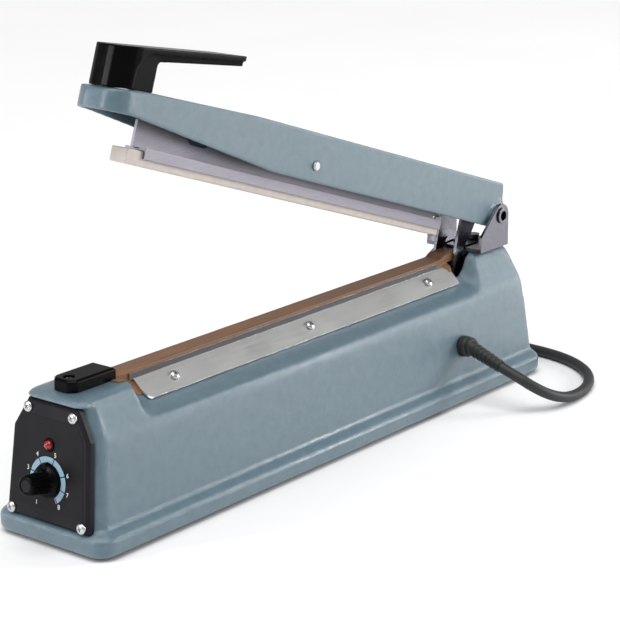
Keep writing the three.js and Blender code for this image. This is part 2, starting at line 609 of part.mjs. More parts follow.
function pressArm() {
  const { halfWidth, wall: skin, nose, noseCorner } = arm;
  const plan = (inset) => roundedRectangle(-halfWidth + inset, halfWidth - inset, -nose + inset,
    20, noseCorner - inset, 6).map(([x, y]) => [x, Math.min(y, 15)]);
  const outer = prism("x", sideOf([...armTop, ...armUnder]), -halfWidth, halfWidth)
    .intersect(prism("z", plan(0), -20, 40));
  const roof = armTop.map(([u, v]) => [u, v - skin]);
  const hollow = prism("x", sideOf([[-30, 19.4], ...roof.slice(1, -1), [nose, 8], [nose, -30], [-30, -30]]),
    -halfWidth, halfWidth).intersect(prism("z", plan(skin), -40, 60));
  const bosses = [-1, 1].map((side) => alongX(rod(9.2, side < 0 ? -19.6 : 17, side < 0 ? -17 : 19.6, 24)));
  const pinHole = alongX(rod(pinRadius + runningFit, -30, 30, 24));
  const pivotHole = place(alongX(rod(2 + runningFit, -30, 30, 16)), 0, -pressPivot.u, pressPivot.v);
  const screwHoles = handleScrewU.map((u) => place(rod(2.2, 0, 40, 12), 0, -u, 0));
  const holes = [pinHole, pivotHole, ...screwHoles];
  add("press_arm", cut(join(outer, ...bosses), hollow, ...holes), "castPaint", armGroup);
}

const handleScrewU = [371, 355];
const gripTop = (u) => 39.2 + (372.4 - u) * 0.138;
const handle = {
  front: 381, end: 279.8, halfWidth: 15, frontCorner: 13, endCorner: 4.5, columnRear: 369.4, blade: 3.1,
  sweep: 14.5, webRear: 346.5, webHalfWidth: 8, ridge: 7.6, webCorner: 3,
  ridgeEnd: { halfWidth: 12, depth: 6 },
};

// An outline in u and v under the grip: down its end, along below its top by depth, round a corner
// of the given radius and down the column to its foot.
function underGrip(end, rear, depth, radius, foot) {
  const cornerTop = gripTop(rear - radius) - depth;
  const corner = arc([rear - radius, cornerTop - radius], radius, Math.PI / 2, 0, 8);
  return [[end, gripTop(end) - depth], ...corner, [rear, foot]];
}

function pressHandle() {
  const { front, end, halfWidth, frontCorner, endCorner } = handle;
  const foot = 15.2;
  const frontRound = prism("z", roundedRectangle(-halfWidth, halfWidth, -front, 0, frontCorner), 0, 80);
  const endRound = prism("z", roundedRectangle(-halfWidth, halfWidth, -front - 40, -end, endCorner), 0, 80);
  const skin = [[front + 2, foot], [front + 2, gripTop(front + 2)], [end, gripTop(end)],
    ...underGrip(end, handle.columnRear, handle.blade, handle.sweep, foot)];
  const body = prism("x", sideOf(skin), -halfWidth, halfWidth).intersect(frontRound).intersect(endRound);
  const { webRear, webHalfWidth, ridge, ridgeEnd } = handle;
  const [webFront, gripStart] = [front - 8, webRear - 6];
  const web = [[webFront, foot], [webFront, gripTop(webFront) - 1], [gripStart, gripTop(gripStart) - 1],
    ...underGrip(gripStart, webRear, ridge, handle.webCorner, foot)];
  const ridgeRing = (u, half, depth) => [[half, 1], [-half, 1], [-half, depth], [half, depth]]
    .map(([x, down]) => [x, -u, gripTop(u) - down]);
  const ridgeRings = [ridgeRing(webRear, webHalfWidth, ridge),
    ridgeRing(end + 1, ridgeEnd.halfWidth, ridgeEnd.depth)];
  const core = prism("x", sideOf(web), -webHalfWidth, webHalfWidth).add(loft(ridgeRings));
  const footCut = prism("x", sideOf([...armTop.slice(2), [384.5, -20], [317, -20]])
    .map(([y, z]) => [y, z + gap]), -30, 30);
  const holes = handleScrewU.map((u) => place(rod(2.2, 0, 34, 12), 0, -u, 0));
  add("press_handle", cut(body.add(core), footCut, ...holes), "blackPlastic", armGroup);
  handleScrewU.forEach((u, i) => {
    const fastener = screw({ headRadius: 3.4, headHeight: 1.8, shankRadius: 1.8, length: 18 });
    const seat = armTop[3][1] - arm.wall - 0.6 - Math.max(u - armTop[3][0], 0) * 0.085;
    add(`handle_screw_${i + 1}`, place(fastener.rotate([180, 0, 0]), 0, -u, seat),
      "steel", armGroup);
  });
}

const forkRod = { u: 22, v: -46, radius: 2.2 };
function liftFork() {
  const outline = sideOf([[27, 17], [26.6, -24], [24.6, -50], [19.5, -50], [17, -24], [13.2, -17.6],
    [10.5, -8], [9, 17]]);
  const { inner, outer } = forkPlate;
  const plates = [prism("x", outline, -outer, -inner), prism("x", outline, inner, outer)];
  const web = box([-outer, outer], [-27, -9], [15.4, 17.4]);
  const crossRod = place(alongX(rod(forkRod.radius, -outer - 1, outer + 1, 14)), 0, -forkRod.u, forkRod.v);
  add("lift_fork", join(...plates, web, crossRod), "zinc", armGroup);
}

function pressBarPieces() {
  const { rear, front, bottom, halfWidth } = pressBar;
  const channelTop = bottom + 6;
  const y = [-front, -rear];
  const webFront = front + 3.4; // the web stands out past the channel
  const web = prism("x", sideOf([[rear, channelTop - 0.5], [rear, -1], [rear + 6, 6], [webFront - 12, 6],
    [webFront, 3], [webFront, channelTop - 0.5]]), -1, 1);
  const stripRoom = strip.halfWidth + gap;
  const channel = cut(box([-halfWidth, halfWidth], y, [bottom, channelTop]),
    box([-stripRoom, stripRoom], [y[0] - 1, y[1] + 1], [bottom - 1, channelTop - 1.5]));
  const pivotHole = place(alongX(rod(2 + runningFit, -5, 5, 16)), 0, -pressPivot.u, pressPivot.v);
  const reliefs = [293.5, 122].map((u) => prism("x",
    roundedRectangle(-u - 9, -u + 9, -3.8, 4, 3.8), -5, 5));
  add("press_bar", cut(web.add(channel), pivotHole, ...reliefs), "aluminium", armGroup);
  add("silicone_strip", box([-strip.halfWidth, strip.halfWidth], [-strip.front, -rear],
    [strip.bottom, channelTop - 1.5 - gap]), "silicone", armGroup);
  const reach = arm.halfWidth + 0.2;
  const pivot = turned([
    [0, -reach - 1.3], [2.2, -reach - 1.3], [3, -reach - 0.6], [3, -reach], [2, -reach],
    [2, reach], [3, reach], [3, reach + 0.6], [2.2, reach + 1.3], [0, reach + 1.3],
  ], 16);
  add("press_bar_pivot", place(alongX(pivot), 0, -pressPivot.u, pressPivot.v), "steel", armGroup);
}

// ---------------------------------------------------------------- lift spring
class SpringCurve extends THREE.Curve {
  constructor(from, to, radius, turns) {
    super();
    Object.assign(this, { from, to, radius, turns });
    this.axis = to.clone().sub(from).normalize();
    this.side = new THREE.Vector3(1, 0, 0);
    this.across = this.axis.clone().cross(this.side);
  }
  getPoint(t, target = new THREE.Vector3()) {
    const turn = 2 * Math.PI * this.turns * t;
    const grown = Math.min(1, t * 14, (1 - t) * 14); // the end turns run in to the axis
    return target.lerpVectors(this.from, this.to, t)
      .addScaledVector(this.side, this.radius * grown * Math.cos(turn))
      .addScaledVector(this.across, this.radius * grown * Math.sin(turn));
  }
}

function liftSpring() {
  const [cos, sin] = [Math.cos(openAngle), Math.sin(openAngle)];
  const hook = new THREE.Vector3(0, hinge.y - forkRod.u * cos + forkRod.v * sin,
    hinge.z + forkRod.u * sin + forkRod.v * cos);
  const anchor = new THREE.Vector3(0, 128, 34.2);
  const toAnchor = anchor.clone().sub(hook).normalize();
  const start = hook.clone().addScaledVector(toAnchor, forkRod.radius + 0.9);
  const spring = new SpringCurve(start, anchor, 3.2, 9);
  add("lift_spring", solid(tube(spring, 0.55, 80, 6)), "steel");
}

// ---------------------------------------------------------------- mains lead
const reliefEnd = (extra) => [
  glandFace + (reliefLength + extra) * Math.cos(reliefTilt), glandY,
  glandZ - (reliefLength + extra) * Math.sin(reliefTilt)];

function cordGland() {
  const bush = turned([
    [3.9, -8], [5.2, -8], [5.2, 0.4], [6.8, 0.4], [6.8, 5], [6, 8.5], [0, 8.5], [0, -6], [3.9, -6],
    [3.9, -8],
  ], 24);
  const sleeve = turned([[0, -2], [4.9, -2], [4.9, 0], [3.9, reliefLength], [0, reliefLength]], 16)
    .rotate([0, 90 + THREE.MathUtils.radToDeg(reliefTilt), 0]);
  add("cord_gland", glandPlace(bush).add(place(sleeve, glandFace, glandY, glandZ)), "rubber");
}

const plugLift = 3.8; // how far the middle of the plug lies above the middle of a cord on the floor

// The lead leaves the gland, drops to the floor, runs round the hinge end and lies coiled on the left.
const floorZ = -footHeight + cordRadius + 0.1;
const leadRoute = [
  reliefEnd(gap), reliefEnd(gap + 4), [77, 132.6, 21.1], [84.5, 136.5, 16.2], [90, 143.5, 11],
  [93, 153, 6.6], [94, 164, 3.5], [93.5, 176, 2], [91, 190, floorZ], [84.5, 206, floorZ],
  [73, 221, floorZ], [58, 232, floorZ], [40, 239, floorZ], [20, 241.8, floorZ], [0, 241.5, floorZ],
  [-19, 237.5, floorZ], [-35.5, 229, floorZ], [-46, 216, floorZ], [-50.2, 199, floorZ],
  [-50.2, 180, floorZ], [-49.6, 160, floorZ], [-49.5, 140, floorZ], [-49.5, 121.5, floorZ],
];
const tailRoute = [
  [-137, 127, floorZ + 6.8], [-137, 135, floorZ + 5.9], [-137, 143, floorZ + 4.8],
  [-137, 151.6, floorZ + plugLift],
];
const smooth = (points) =>
  new THREE.CatmullRomCurve3(points.map((p) => new THREE.Vector3(...p)), false, "centripetal");

function mainsLead() {
  add("power_cord", solid(tube(smooth(leadRoute), cordRadius, 44, 8)), "rubber");
  const height = 2 * coil.layers * cordRadius + 0.2;
  const ring = turned([
    [coil.inner, 0], [coil.outer, 0], [coil.outer, height], [coil.inner, height], [coil.inner, 0],
  ], 32);
  add("power_cord_coil", place(ring, coil.x, coil.y, -footHeight), "rubber");
  add("power_cord_tail", solid(tube(smooth(tailRoute), cordRadius, 10, 8)), "rubber");
  const body = loft([[152.3, 4.6], [160, 5.2], [176, 8.5], [190, 9], [192, 8]].map(([y, half2]) =>
    roundedRectangle(-half2 - 2, half2 + 2, -half2 * 0.75, half2 * 0.75, half2 * 0.5, 3)
      .map(([x, z]) => [x - 137, y, z + floorZ + plugLift])));
  const pins = [-1, 1].map((side) => place(rod(2.3, 191, 210, 12).rotate([-90, 0, 0]),
    -137 + side * 6, 0, floorZ + plugLift));
  add("power_plug", join(body, ...pins), "blackPlastic");
}

// ---------------------------------------------------------------- assembly
add("base_casting", baseCasting(), "castPaint");
underside();
controlPanel();
timer();
transformer();
microswitch();
platen();
tapeCover();
sidePlates();
terminalCover();
hingeBracket();
pressArm();
pressHandle();
liftFork();
pressBarPieces();
liftSpring();
cordGland();
mainsLead();

armGroup.position.set(0, hinge.y, hinge.z);
armGroup.rotation.x = -openAngle;
panelGroup.position.set(0, frontY(knob.z), knob.z);
panelGroup.rotation.x = Math.PI / 2 - panelLean;
root.add(armGroup, panelGroup);

root.updateMatrixWorld(true);
const bounds = new THREE.Box3();
for (const name of ["base_casting", "control_panel", "timer_knob", "foot_1"]) {
  bounds.expandByObject(root.getObjectByName(name), true);
}
root.position.set(0, -(bounds.min.y + bounds.max.y) / 2, -bounds.min.z);

const sealer = new THREE.Group();
sealer.add(root);

export default sealer;
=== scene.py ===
"""The looks of the hand impulse heat sealer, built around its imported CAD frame.

Metres, in the frame's own axes: +Z up, +Y to the hinge end, +X to the operator's right.
Dimensions below are in millimetres about the middle of the base, from the underside of its
flange, as in the CAD source. at() turns such a point into the frame's metres.
"""

import json
import math
import random

import bmesh
import bpy
import numpy as np
from mathutils import Matrix, Vector, noise
from mathutils.bvhtree import BVHTree

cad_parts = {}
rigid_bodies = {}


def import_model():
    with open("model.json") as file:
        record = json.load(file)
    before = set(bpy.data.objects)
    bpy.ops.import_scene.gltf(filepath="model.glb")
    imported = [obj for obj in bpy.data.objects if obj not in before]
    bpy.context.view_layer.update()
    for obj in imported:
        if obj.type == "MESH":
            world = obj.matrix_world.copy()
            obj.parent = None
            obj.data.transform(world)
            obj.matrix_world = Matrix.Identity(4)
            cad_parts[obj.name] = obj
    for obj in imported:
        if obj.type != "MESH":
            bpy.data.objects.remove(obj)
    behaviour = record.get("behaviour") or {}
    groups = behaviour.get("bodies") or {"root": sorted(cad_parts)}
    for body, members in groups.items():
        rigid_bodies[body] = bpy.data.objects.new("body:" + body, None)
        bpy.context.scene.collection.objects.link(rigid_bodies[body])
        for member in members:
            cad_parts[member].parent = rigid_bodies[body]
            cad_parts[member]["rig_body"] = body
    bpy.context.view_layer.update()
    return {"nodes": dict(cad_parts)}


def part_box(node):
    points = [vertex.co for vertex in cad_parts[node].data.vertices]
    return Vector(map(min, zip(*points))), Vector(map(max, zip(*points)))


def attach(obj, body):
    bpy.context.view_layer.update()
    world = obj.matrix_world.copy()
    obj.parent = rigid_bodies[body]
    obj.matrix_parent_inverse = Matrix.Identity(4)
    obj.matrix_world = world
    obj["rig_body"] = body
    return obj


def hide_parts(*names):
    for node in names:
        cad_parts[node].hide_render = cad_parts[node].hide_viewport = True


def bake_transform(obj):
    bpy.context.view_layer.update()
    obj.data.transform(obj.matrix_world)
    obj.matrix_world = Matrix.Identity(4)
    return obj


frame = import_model()
nodes = frame["nodes"]
scene = bpy.context.scene
rng = random.Random(7)

MM = 0.001
base_low, base_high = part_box("base_casting")
SHIFT = Vector((0, (base_low.y + base_high.y) / 2, base_low.z))


def at(x, y, z):
    """A point of the CAD drawing, in the frame's metres."""
    return Vector((x, y, z)) * MM + SHIFT


# ------------------------------------------------------------------ driving dimensions
PANEL_LEAN = math.atan(0.11)
PANEL_THICKNESS = 5.3
KNOB_Z = 36
FRONT_WALL = {"y": -210, "z": 14}
FLOOR_CORD_Z = 1.6
CORD_RADIUS = 3.5
SLOPE = {"x": 6.3, "z": 79.5, "angle": math.radians(41.7)}
TAPE_TOP = 85.6
HINGE = {"y": 191.5, "z": 108.5}
OPEN_ANGLE = math.radians(19)
FORK_ROD = {"u": 22, "v": 46}  # from the hinge, forward along the arm and square down from it
SPRING = {"y": 128, "z": 34.2, "turns": 19, "radius": 2.9, "wire": 0.55, "steps": 14}
WALL = {"low_x": 35.9, "low_z": 14, "high_x": 30.2, "high_z": 62.5}  # the casting's side wall
PLUG = {"x": -137, "lift": 3.8}
LAMP_Y = 20.2


# ------------------------------------------------------------------ camera
def make_camera():
    azimuth, elevation, roll = math.radians(38.923), math.radians(16.456), math.radians(-0.337)
    back = Vector((
        math.sin(azimuth) * math.cos(elevation),
        -math.cos(azimuth) * math.cos(elevation),
        math.sin(elevation),
    ))
    right = (-back).cross(Vector((0, 0, 1))).normalized()
    up = back.cross(right)
    right_rolled = math.cos(roll) * right + math.sin(roll) * up
    up_rolled = math.cos(roll) * up - math.sin(roll) * right
    data = bpy.data.cameras.new("camera")
    data.lens = 127.08
    data.sensor_width = 36
    data.clip_start, data.clip_end = 0.05, 20
    camera = bpy.data.objects.new("camera", data)
    turn = Matrix((right_rolled, up_rolled, back)).transposed().to_4x4()
    camera.matrix_world = Matrix.Translation(at(812.88, -991.86, 462.08)) @ turn
    scene.collection.objects.link(camera)
    scene.camera = camera


make_camera()


# ------------------------------------------------------------------ materials
class Nodes:
    """A small wrapper that adds linked shader nodes to one material."""

    def __init__(self, name):
        self.material = bpy.data.materials.new(name)
        self.material.use_nodes = True
        self.tree = self.material.node_tree
        self.shader = self.tree.nodes["Principled BSDF"]
        self.place = self.tree.nodes.new("ShaderNodeTexCoord").outputs["Object"]

    def link(self, source, target):
        self.tree.links.new(source, target)

    def node(self, kind, inputs=None, **settings):
        made = self.tree.nodes.new(kind)
        for key, value in settings.items():
            setattr(made, key, value)
        for key, value in (inputs or {}).items():
            if isinstance(value, bpy.types.NodeSocket):
                self.link(value, made.inputs[key])
            else:
                made.inputs[key].default_value = value
        return made

    def stretched(self, scale):
        """Object coordinates scaled along each axis, per metre."""
        return self.node("ShaderNodeMapping", {"Vector": self.place, "Scale": scale}).outputs[0]

    def noise(self, scale, detail=2.0, rough=0.5, vector=None):
        inputs = {"Vector": vector or self.place, "Scale": scale, "Detail": detail, "Roughness": rough}
        return self.node("ShaderNodeTexNoise", inputs).outputs["Fac"]

    def cells(self, scale, vector=None, smoothness=0.6):
        inputs = {"Vector": vector or self.place, "Scale": scale, "Smoothness": smoothness}
        return self.node("ShaderNodeTexVoronoi", inputs, feature="SMOOTH_F1").outputs["Distance"]

    def remap(self, value, low, high, to_low, to_high):
        inputs = {"Value": value, "From Min": low, "From Max": high, "To Min": to_low, "To Max": to_high}
        return self.node("ShaderNodeMapRange", inputs).outputs[0]

    def math(self, operation, a, b):
        made = self.node("ShaderNodeMath", operation=operation)
        for socket, value in zip(made.inputs, (a, b)):
            if isinstance(value, bpy.types.NodeSocket):
                self.link(value, socket)
            else:
                socket.default_value = value
        return made.outputs[0]

    def blend(self, amount, first, second):
        made = self.node("ShaderNodeMix", data_type="RGBA", blend_type="MIX")
        for key, value in (("Factor", amount), ("A", first), ("B", second)):
            socket = next(s for s in made.inputs if s.name == key and s.enabled)
            if isinstance(value, bpy.types.NodeSocket):
                self.link(value, socket)
            else:
                socket.default_value = value
        return next(s for s in made.outputs if s.enabled)

    def bump(self, height, strength, distance):
        inputs = {"Height": height, "Strength": strength, "Distance": distance}
        return self.node("ShaderNodeBump", inputs).outputs[0]

    def finish(self, color=None, roughness=None, normal=None, **constants):
        for key, value in (("Base Color", color), ("Roughness", roughness), ("Normal", normal)):
            if isinstance(value, bpy.types.NodeSocket):
                self.link(value, self.shader.inputs[key])
            elif value is not None:
                self.shader.inputs[key].default_value = value
        if normal and "Coat_Weight" in constants:
            self.link(normal, self.shader.inputs["Coat Normal"])
        for key, value in constants.items():
            self.shader.inputs[key.replace("_", " ")].default_value = value
        return self.material


def rgb(red, green, blue):
    return (red, green, blue, 1.0)


def hammered_paint():
    """Blue-grey hammer-finish enamel: dimples of uneven size, darker in their rims, under a clear gloss."""
    m = Nodes("hammered_paint")
    drift = m.noise(170, 2.0)
    ripples = m.node("ShaderNodeTexNoise", {"Vector": m.place, "Scale": 420.0, "Detail": 1.0})
    shift = m.node("ShaderNodeVectorMath", {0: ripples.outputs["Color"]}, operation="SCALE")
    shift.inputs["Scale"].default_value = 0.0007
    # A known mistake: the ripples multiply the place, where only the small shift was meant to be added
    # to it, so the cells shrink and grow more uneven away from the origin.
    warped = m.node("ShaderNodeVectorMath", {0: m.place, 1: ripples.outputs["Color"], 2: shift.outputs[0]},
                    operation="MULTIPLY_ADD")
    dimples = m.cells(480, warped.outputs[0], 0.8)
    fine = m.noise(2600, 2.0)
    rims = m.remap(dimples, 0.18, 0.62, 0.0, 1.0)
    body = m.blend(m.remap(drift, 0.35, 0.68, 0.0, 1.0), rgb(0.091, 0.150, 0.187), rgb(0.110, 0.176, 0.216))
    flecked = m.blend(m.remap(rims, 0.0, 1.0, 0.0, 0.30), body, rgb(0.062, 0.106, 0.136))
    # The paint turns a lighter blue on sharp convex edges, where the mesh's pointiness is high.
    pointed = m.node("ShaderNodeNewGeometry").outputs["Pointiness"]
    lighter_on_edges = m.remap(pointed, 0.515, 0.58, 0.0, 0.35)
    colour = m.blend(lighter_on_edges, flecked, rgb(0.22, 0.30, 0.34))
    height = m.math("ADD", m.math("MULTIPLY", dimples, 1.0), m.math("MULTIPLY", fine, 0.015))
    rough = m.remap(m.math("ADD", m.math("MULTIPLY", rims, 0.5), m.math("MULTIPLY", drift, 0.5)),
                    0.2, 0.8, 0.30, 0.44)
    return m.finish(colour, rough, m.bump(height, 0.23, 0.0006), Coat_Weight=1.0, Coat_Roughness=0.11,
                    Specular_IOR_Level=0.25)


def moulded_plastic(name, colour, dark, roughness, grain, strength, specular=0.5):
    m = Nodes(name)
    cloud = m.noise(60, 3.0)
    pores = m.noise(grain, 2.0)
    smear = m.noise(1, 3.0, 0.6, m.stretched((90, 25, 90)))
    base = m.blend(m.remap(cloud, 0.3, 0.7, 0.0, 1.0), dark, colour)
    rough = m.remap(smear, 0.3, 0.7, roughness * 0.86, roughness * 1.16)
    return m.finish(base, rough, m.bump(pores, strength, 0.0001), Specular_IOR_Level=specular)


def brushed_metal(name, colour, dark, roughness, along, strength=0.08):
    """Metal with fine lines along one axis, a cloudy sheen and faint darker handling marks."""
    m = Nodes(name)
    scale = [2600.0, 2600.0, 2600.0]
    scale[along] = 30.0
    lines = m.noise(1, 3.0, 0.65, m.stretched(tuple(scale)))
    cloud = m.noise(45, 3.0)
    marks = m.noise(240, 4.0, 0.7)
    base = m.blend(m.remap(lines, 0.3, 0.72, 0.0, 1.0), dark, colour)
    aged = m.blend(m.remap(marks, 0.62, 0.78, 0.0, 0.30), base, dark)
    rough = m.remap(m.math("ADD", m.math("MULTIPLY", lines, 0.6), m.math("MULTIPLY", cloud, 0.4)),
                    0.3, 0.7, roughness * 0.8, roughness * 1.25)
    return m.finish(aged, rough, m.bump(lines, strength, 0.00008), Metallic=1.0)


def plated_metal(name, colour, dark, roughness):
    """Plated or cast metal with no grain direction: small dings and a mottled sheen."""
    m = Nodes(name)
    mottle = m.noise(380, 4.0, 0.6)
    dings = m.noise(1500, 3.0, 0.6)
    base = m.blend(m.remap(mottle, 0.32, 0.7, 0.0, 1.0), dark, colour)
    rough = m.remap(mottle, 0.3, 0.7, roughness * 0.8, roughness * 1.3)
    return m.finish(base, rough, m.bump(dings, 0.12, 0.0001), Metallic=1.0)


WAVE_SPACING = 0.314  # a Wave texture's bands lie this far apart, over its scale
THREAD = 0.42 * MM


def glass_weave(name, colour, dark, roughness, sheen):
    """Woven glass cloth under its coating: crossed threads, a cloudy tint and soft smudges."""
    m = Nodes(name)
    waves = {"Vector": m.place, "Scale": WAVE_SPACING / THREAD, "Distortion": 0.6, "Detail": 1.0,
             "Detail Scale": 2.0}
    across, along = (m.node("ShaderNodeTexWave", waves, bands_direction=axis).outputs["Fac"]
                     for axis in ("X", "Y"))
    weave = m.math("MAXIMUM", across, along)
    cloud = m.noise(1, 4.0, 0.6, m.stretched((120, 26, 120)))
    base = m.blend(m.remap(cloud, 0.34, 0.66, 0.0, 1.0), dark, colour)
    shaded = m.blend(m.remap(weave, 0.25, 1.0, 0.34, 0.0), base, dark)
    rough = m.remap(cloud, 0.3, 0.7, roughness * 0.8, roughness * 1.3)
    return m.finish(shaded, rough, m.bump(weave, 0.22, 0.00012), Sheen_Weight=sheen,
                    Specular_IOR_Level=0.3)


def soft_rubber(name, colour, dark, roughness, grain=1400, strength=0.25, subsurface=0.0):
    m = Nodes(name)
    dust = m.noise(190, 4.0, 0.65)
    pores = m.noise(grain, 3.0, 0.6)
    base = m.blend(m.remap(dust, 0.35, 0.7, 0.0, 1.0), dark, colour)
    rough = m.remap(dust, 0.3, 0.7, roughness * 0.88, min(roughness * 1.12, 1.0))
    return m.finish(base, rough, m.bump(pores, strength, 0.0001), Subsurface_Weight=subsurface,
                    Subsurface_Scale=0.004)


def lens_plastic():
    """Red indicator lens: facets of a moulded diffuser, lit faintly from inside."""
    m = Nodes("lens_red")
    facets = m.cells(900, smoothness=0.1)
    glow = m.noise(260, 2.0)
    base = m.blend(m.remap(facets, 0.1, 0.6, 0.0, 1.0), rgb(0.42, 0.010, 0.008), rgb(0.16, 0.002, 0.002))
    m.link(m.blend(m.remap(glow, 0.3, 0.7, 0.0, 1.0), rgb(0.9, 0.02, 0.01), rgb(0.45, 0.0, 0.0)),
           m.shader.inputs["Emission Color"])
    return m.finish(base, m.remap(glow, 0.3, 0.7, 0.1, 0.2), m.bump(facets, 0.3, 0.0002),
                    Emission_Strength=0.08, Coat_Weight=0.5, Coat_Roughness=0.05)


def circuit_board():
    m = Nodes("board_green")
    tracks = m.node("ShaderNodeTexBrick", {"Vector": m.stretched((260, 260, 260)), "Scale": 1.0,
                    "Color1": rgb(0.02, 0.11, 0.04), "Color2": rgb(0.03, 0.15, 0.05),
                    "Mortar": rgb(0.05, 0.22, 0.08), "Mortar Size": 0.06})
    return m.finish(tracks.outputs["Color"], 0.4, m.bump(tracks.outputs["Fac"], 0.3, 0.0001))


def laminated_steel():
    """Stacked transformer laminations, each edge a fine line along X."""
    m = Nodes("laminations")
    sheets = m.node("ShaderNodeTexWave", {"Vector": m.place, "Scale": 314.0, "Distortion": 0.3},
                    bands_direction="Z").outputs["Fac"]
    rust = m.noise(180, 4.0, 0.65)
    base = m.blend(sheets, rgb(0.12, 0.11, 0.11), rgb(0.27, 0.26, 0.26))
    aged = m.blend(m.remap(rust, 0.55, 0.75, 0.0, 0.5), base, rgb(0.16, 0.08, 0.05))
    return m.finish(aged, 0.5, m.bump(sheets, 0.4, 0.0002), Metallic=0.8)


def wound_wire():
    m = Nodes("winding")
    turns = m.node("ShaderNodeTexWave", {"Vector": m.place, "Scale": 450.0, "Distortion": 0.4},
                   bands_direction="Z").outputs["Fac"]
    patch = m.noise(120, 3.0)
    base = m.blend(turns, rgb(0.18, 0.06, 0.02), rgb(0.42, 0.17, 0.07))
    return m.finish(base, m.remap(patch, 0.3, 0.7, 0.25, 0.45), m.bump(turns, 0.5, 0.0003), Metallic=0.6)


def floor_paper():
    m = Nodes("floor_paper")
    tooth = m.noise(900, 3.0)
    base = m.blend(m.remap(m.noise(6, 3.0), 0.3, 0.7, 0.0, 1.0), rgb(0.86, 0.86, 0.86), rgb(0.88, 0.88, 0.88))
    return m.finish(base, 0.7, m.bump(tooth, 0.05, 0.0002))


LOOKS = {
    "cast_paint": hammered_paint(),
    "black_plastic": moulded_plastic("gloss_black", rgb(0.002, 0.002, 0.0022), rgb(0.0014, 0.0014, 0.0014),
                                     0.24, 1800, 0.03, specular=0.07),
    "panel_plastic": moulded_plastic("panel_charcoal", rgb(0.014, 0.013, 0.017),
                                     rgb(0.010, 0.0095, 0.013), 0.42, 1500, 0.16, specular=0.14),
    "steel": brushed_metal("satin_steel", rgb(0.54, 0.54, 0.535), rgb(0.48, 0.48, 0.475), 0.46, along=1,
                           strength=0.04),
    "zinc": plated_metal("zinc_plate", rgb(0.200, 0.195, 0.222), rgb(0.178, 0.173, 0.198), 0.22),
    "aluminium": brushed_metal("extruded_aluminium", rgb(0.28, 0.27, 0.305), rgb(0.22, 0.21, 0.245), 0.36,
                               along=1),
    "brass": plated_metal("brass_turned", rgb(0.72, 0.52, 0.22), rgb(0.50, 0.34, 0.12), 0.28),
    "copper": wound_wire(),
    "element": brushed_metal("element_ribbon", rgb(0.42, 0.39, 0.36), rgb(0.28, 0.25, 0.23), 0.35, along=1),
    "ptfe": glass_weave("ptfe_brown", rgb(0.230, 0.108, 0.046), rgb(0.140, 0.068, 0.034), 0.42, 0.03),
    "glass_cloth": glass_weave("bare_glass_cloth", rgb(0.66, 0.60, 0.44), rgb(0.50, 0.44, 0.30), 0.7, 0.2),
    "silicone": soft_rubber("silicone_cream", rgb(0.60, 0.535, 0.50), rgb(0.53, 0.465, 0.43), 0.5,
                            strength=0.15, subsurface=0.12),
    "rubber": soft_rubber("rubber_black", rgb(0.022, 0.022, 0.024), rgb(0.012, 0.012, 0.013), 0.55),
    "lens": lens_plastic(),
    "board": circuit_board(),
    "core": laminated_steel(),
}
HEAD_STEEL = plated_metal("screw_nickel", rgb(0.66, 0.66, 0.67), rgb(0.54, 0.54, 0.56), 0.26)
DIAL_BLUE = moulded_plastic("dial_blue", rgb(0.26, 0.40, 0.51), rgb(0.23, 0.36, 0.47), 0.45, 1500, 0.05)
# Painted highlight: a near-white copy of the satin steel for the side plates' cut edges, so they show as
# bright lines.
CUT_EDGE_HIGHLIGHT = brushed_metal("cut_edge_highlight", rgb(0.95, 0.95, 0.94), rgb(0.86, 0.86, 0.85), 0.2, along=1)
# Painted shade: a dark copy of the satin steel for the side plates' upright lips, standing in for the dark
# they reflect.
SHADED_LIP = brushed_metal("painted_shade_lip", rgb(0.105, 0.10, 0.108), rgb(0.08, 0.075, 0.08), 0.4, along=1)
LABEL = moulded_plastic("label_black", rgb(0.010, 0.0095, 0.012), rgb(0.008, 0.0075, 0.010), 0.38, 1500,
                        0.05, specular=0.14)
DIAL_WHITE = moulded_plastic("dial_white", rgb(0.80, 0.80, 0.80), rgb(0.70, 0.70, 0.71), 0.5, 1500, 0.05)


# ------------------------------------------------------------------ mesh helpers
def shown(name, mesh, body, slot, *replaced, look=None, smooth=True):
    """Adds a finished mesh as a piece: its look, its body, its slot and the CAD nodes it stands for."""
    piece = bpy.data.objects.new(name, mesh)
    scene.collection.objects.link(piece)
    mesh.materials.clear()
    mesh.materials.append(look or LOOKS[slot])
    for face in mesh.polygons:
        face.use_smooth = smooth
        face.material_index = 0
    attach(piece, body)
    if replaced:
        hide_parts(*replaced)
    return piece


def mesh_of(name, bm):
    bmesh.ops.recalc_face_normals(bm, faces=bm.faces)
    mesh = bpy.data.meshes.new(name)
    bm.to_mesh(mesh)
    bm.free()
    return mesh


def welded(node):
    """The CAD node's mesh as a bmesh, its split corners joined."""
    bm = bmesh.new()
    bm.from_mesh(nodes[node].data)
    bmesh.ops.remove_doubles(bm, verts=bm.verts, dist=2e-6)
    return bm


def applied(name, mesh, settings):
    """The mesh after the modifiers that settings lists as (kind, {property: value})."""
    helper = bpy.data.objects.new("helper", mesh)
    scene.collection.objects.link(helper)
    for kind, values in settings:
        modifier = helper.modifiers.new(kind.lower(), kind)
        for key, value in values.items():
            setattr(modifier, key, value)
    graph = bpy.context.evaluated_depsgraph_get()
    made = bpy.data.meshes.new_from_object(helper.evaluated_get(graph), depsgraph=graph)
    made.name = name
    bpy.data.objects.remove(helper)
    return made


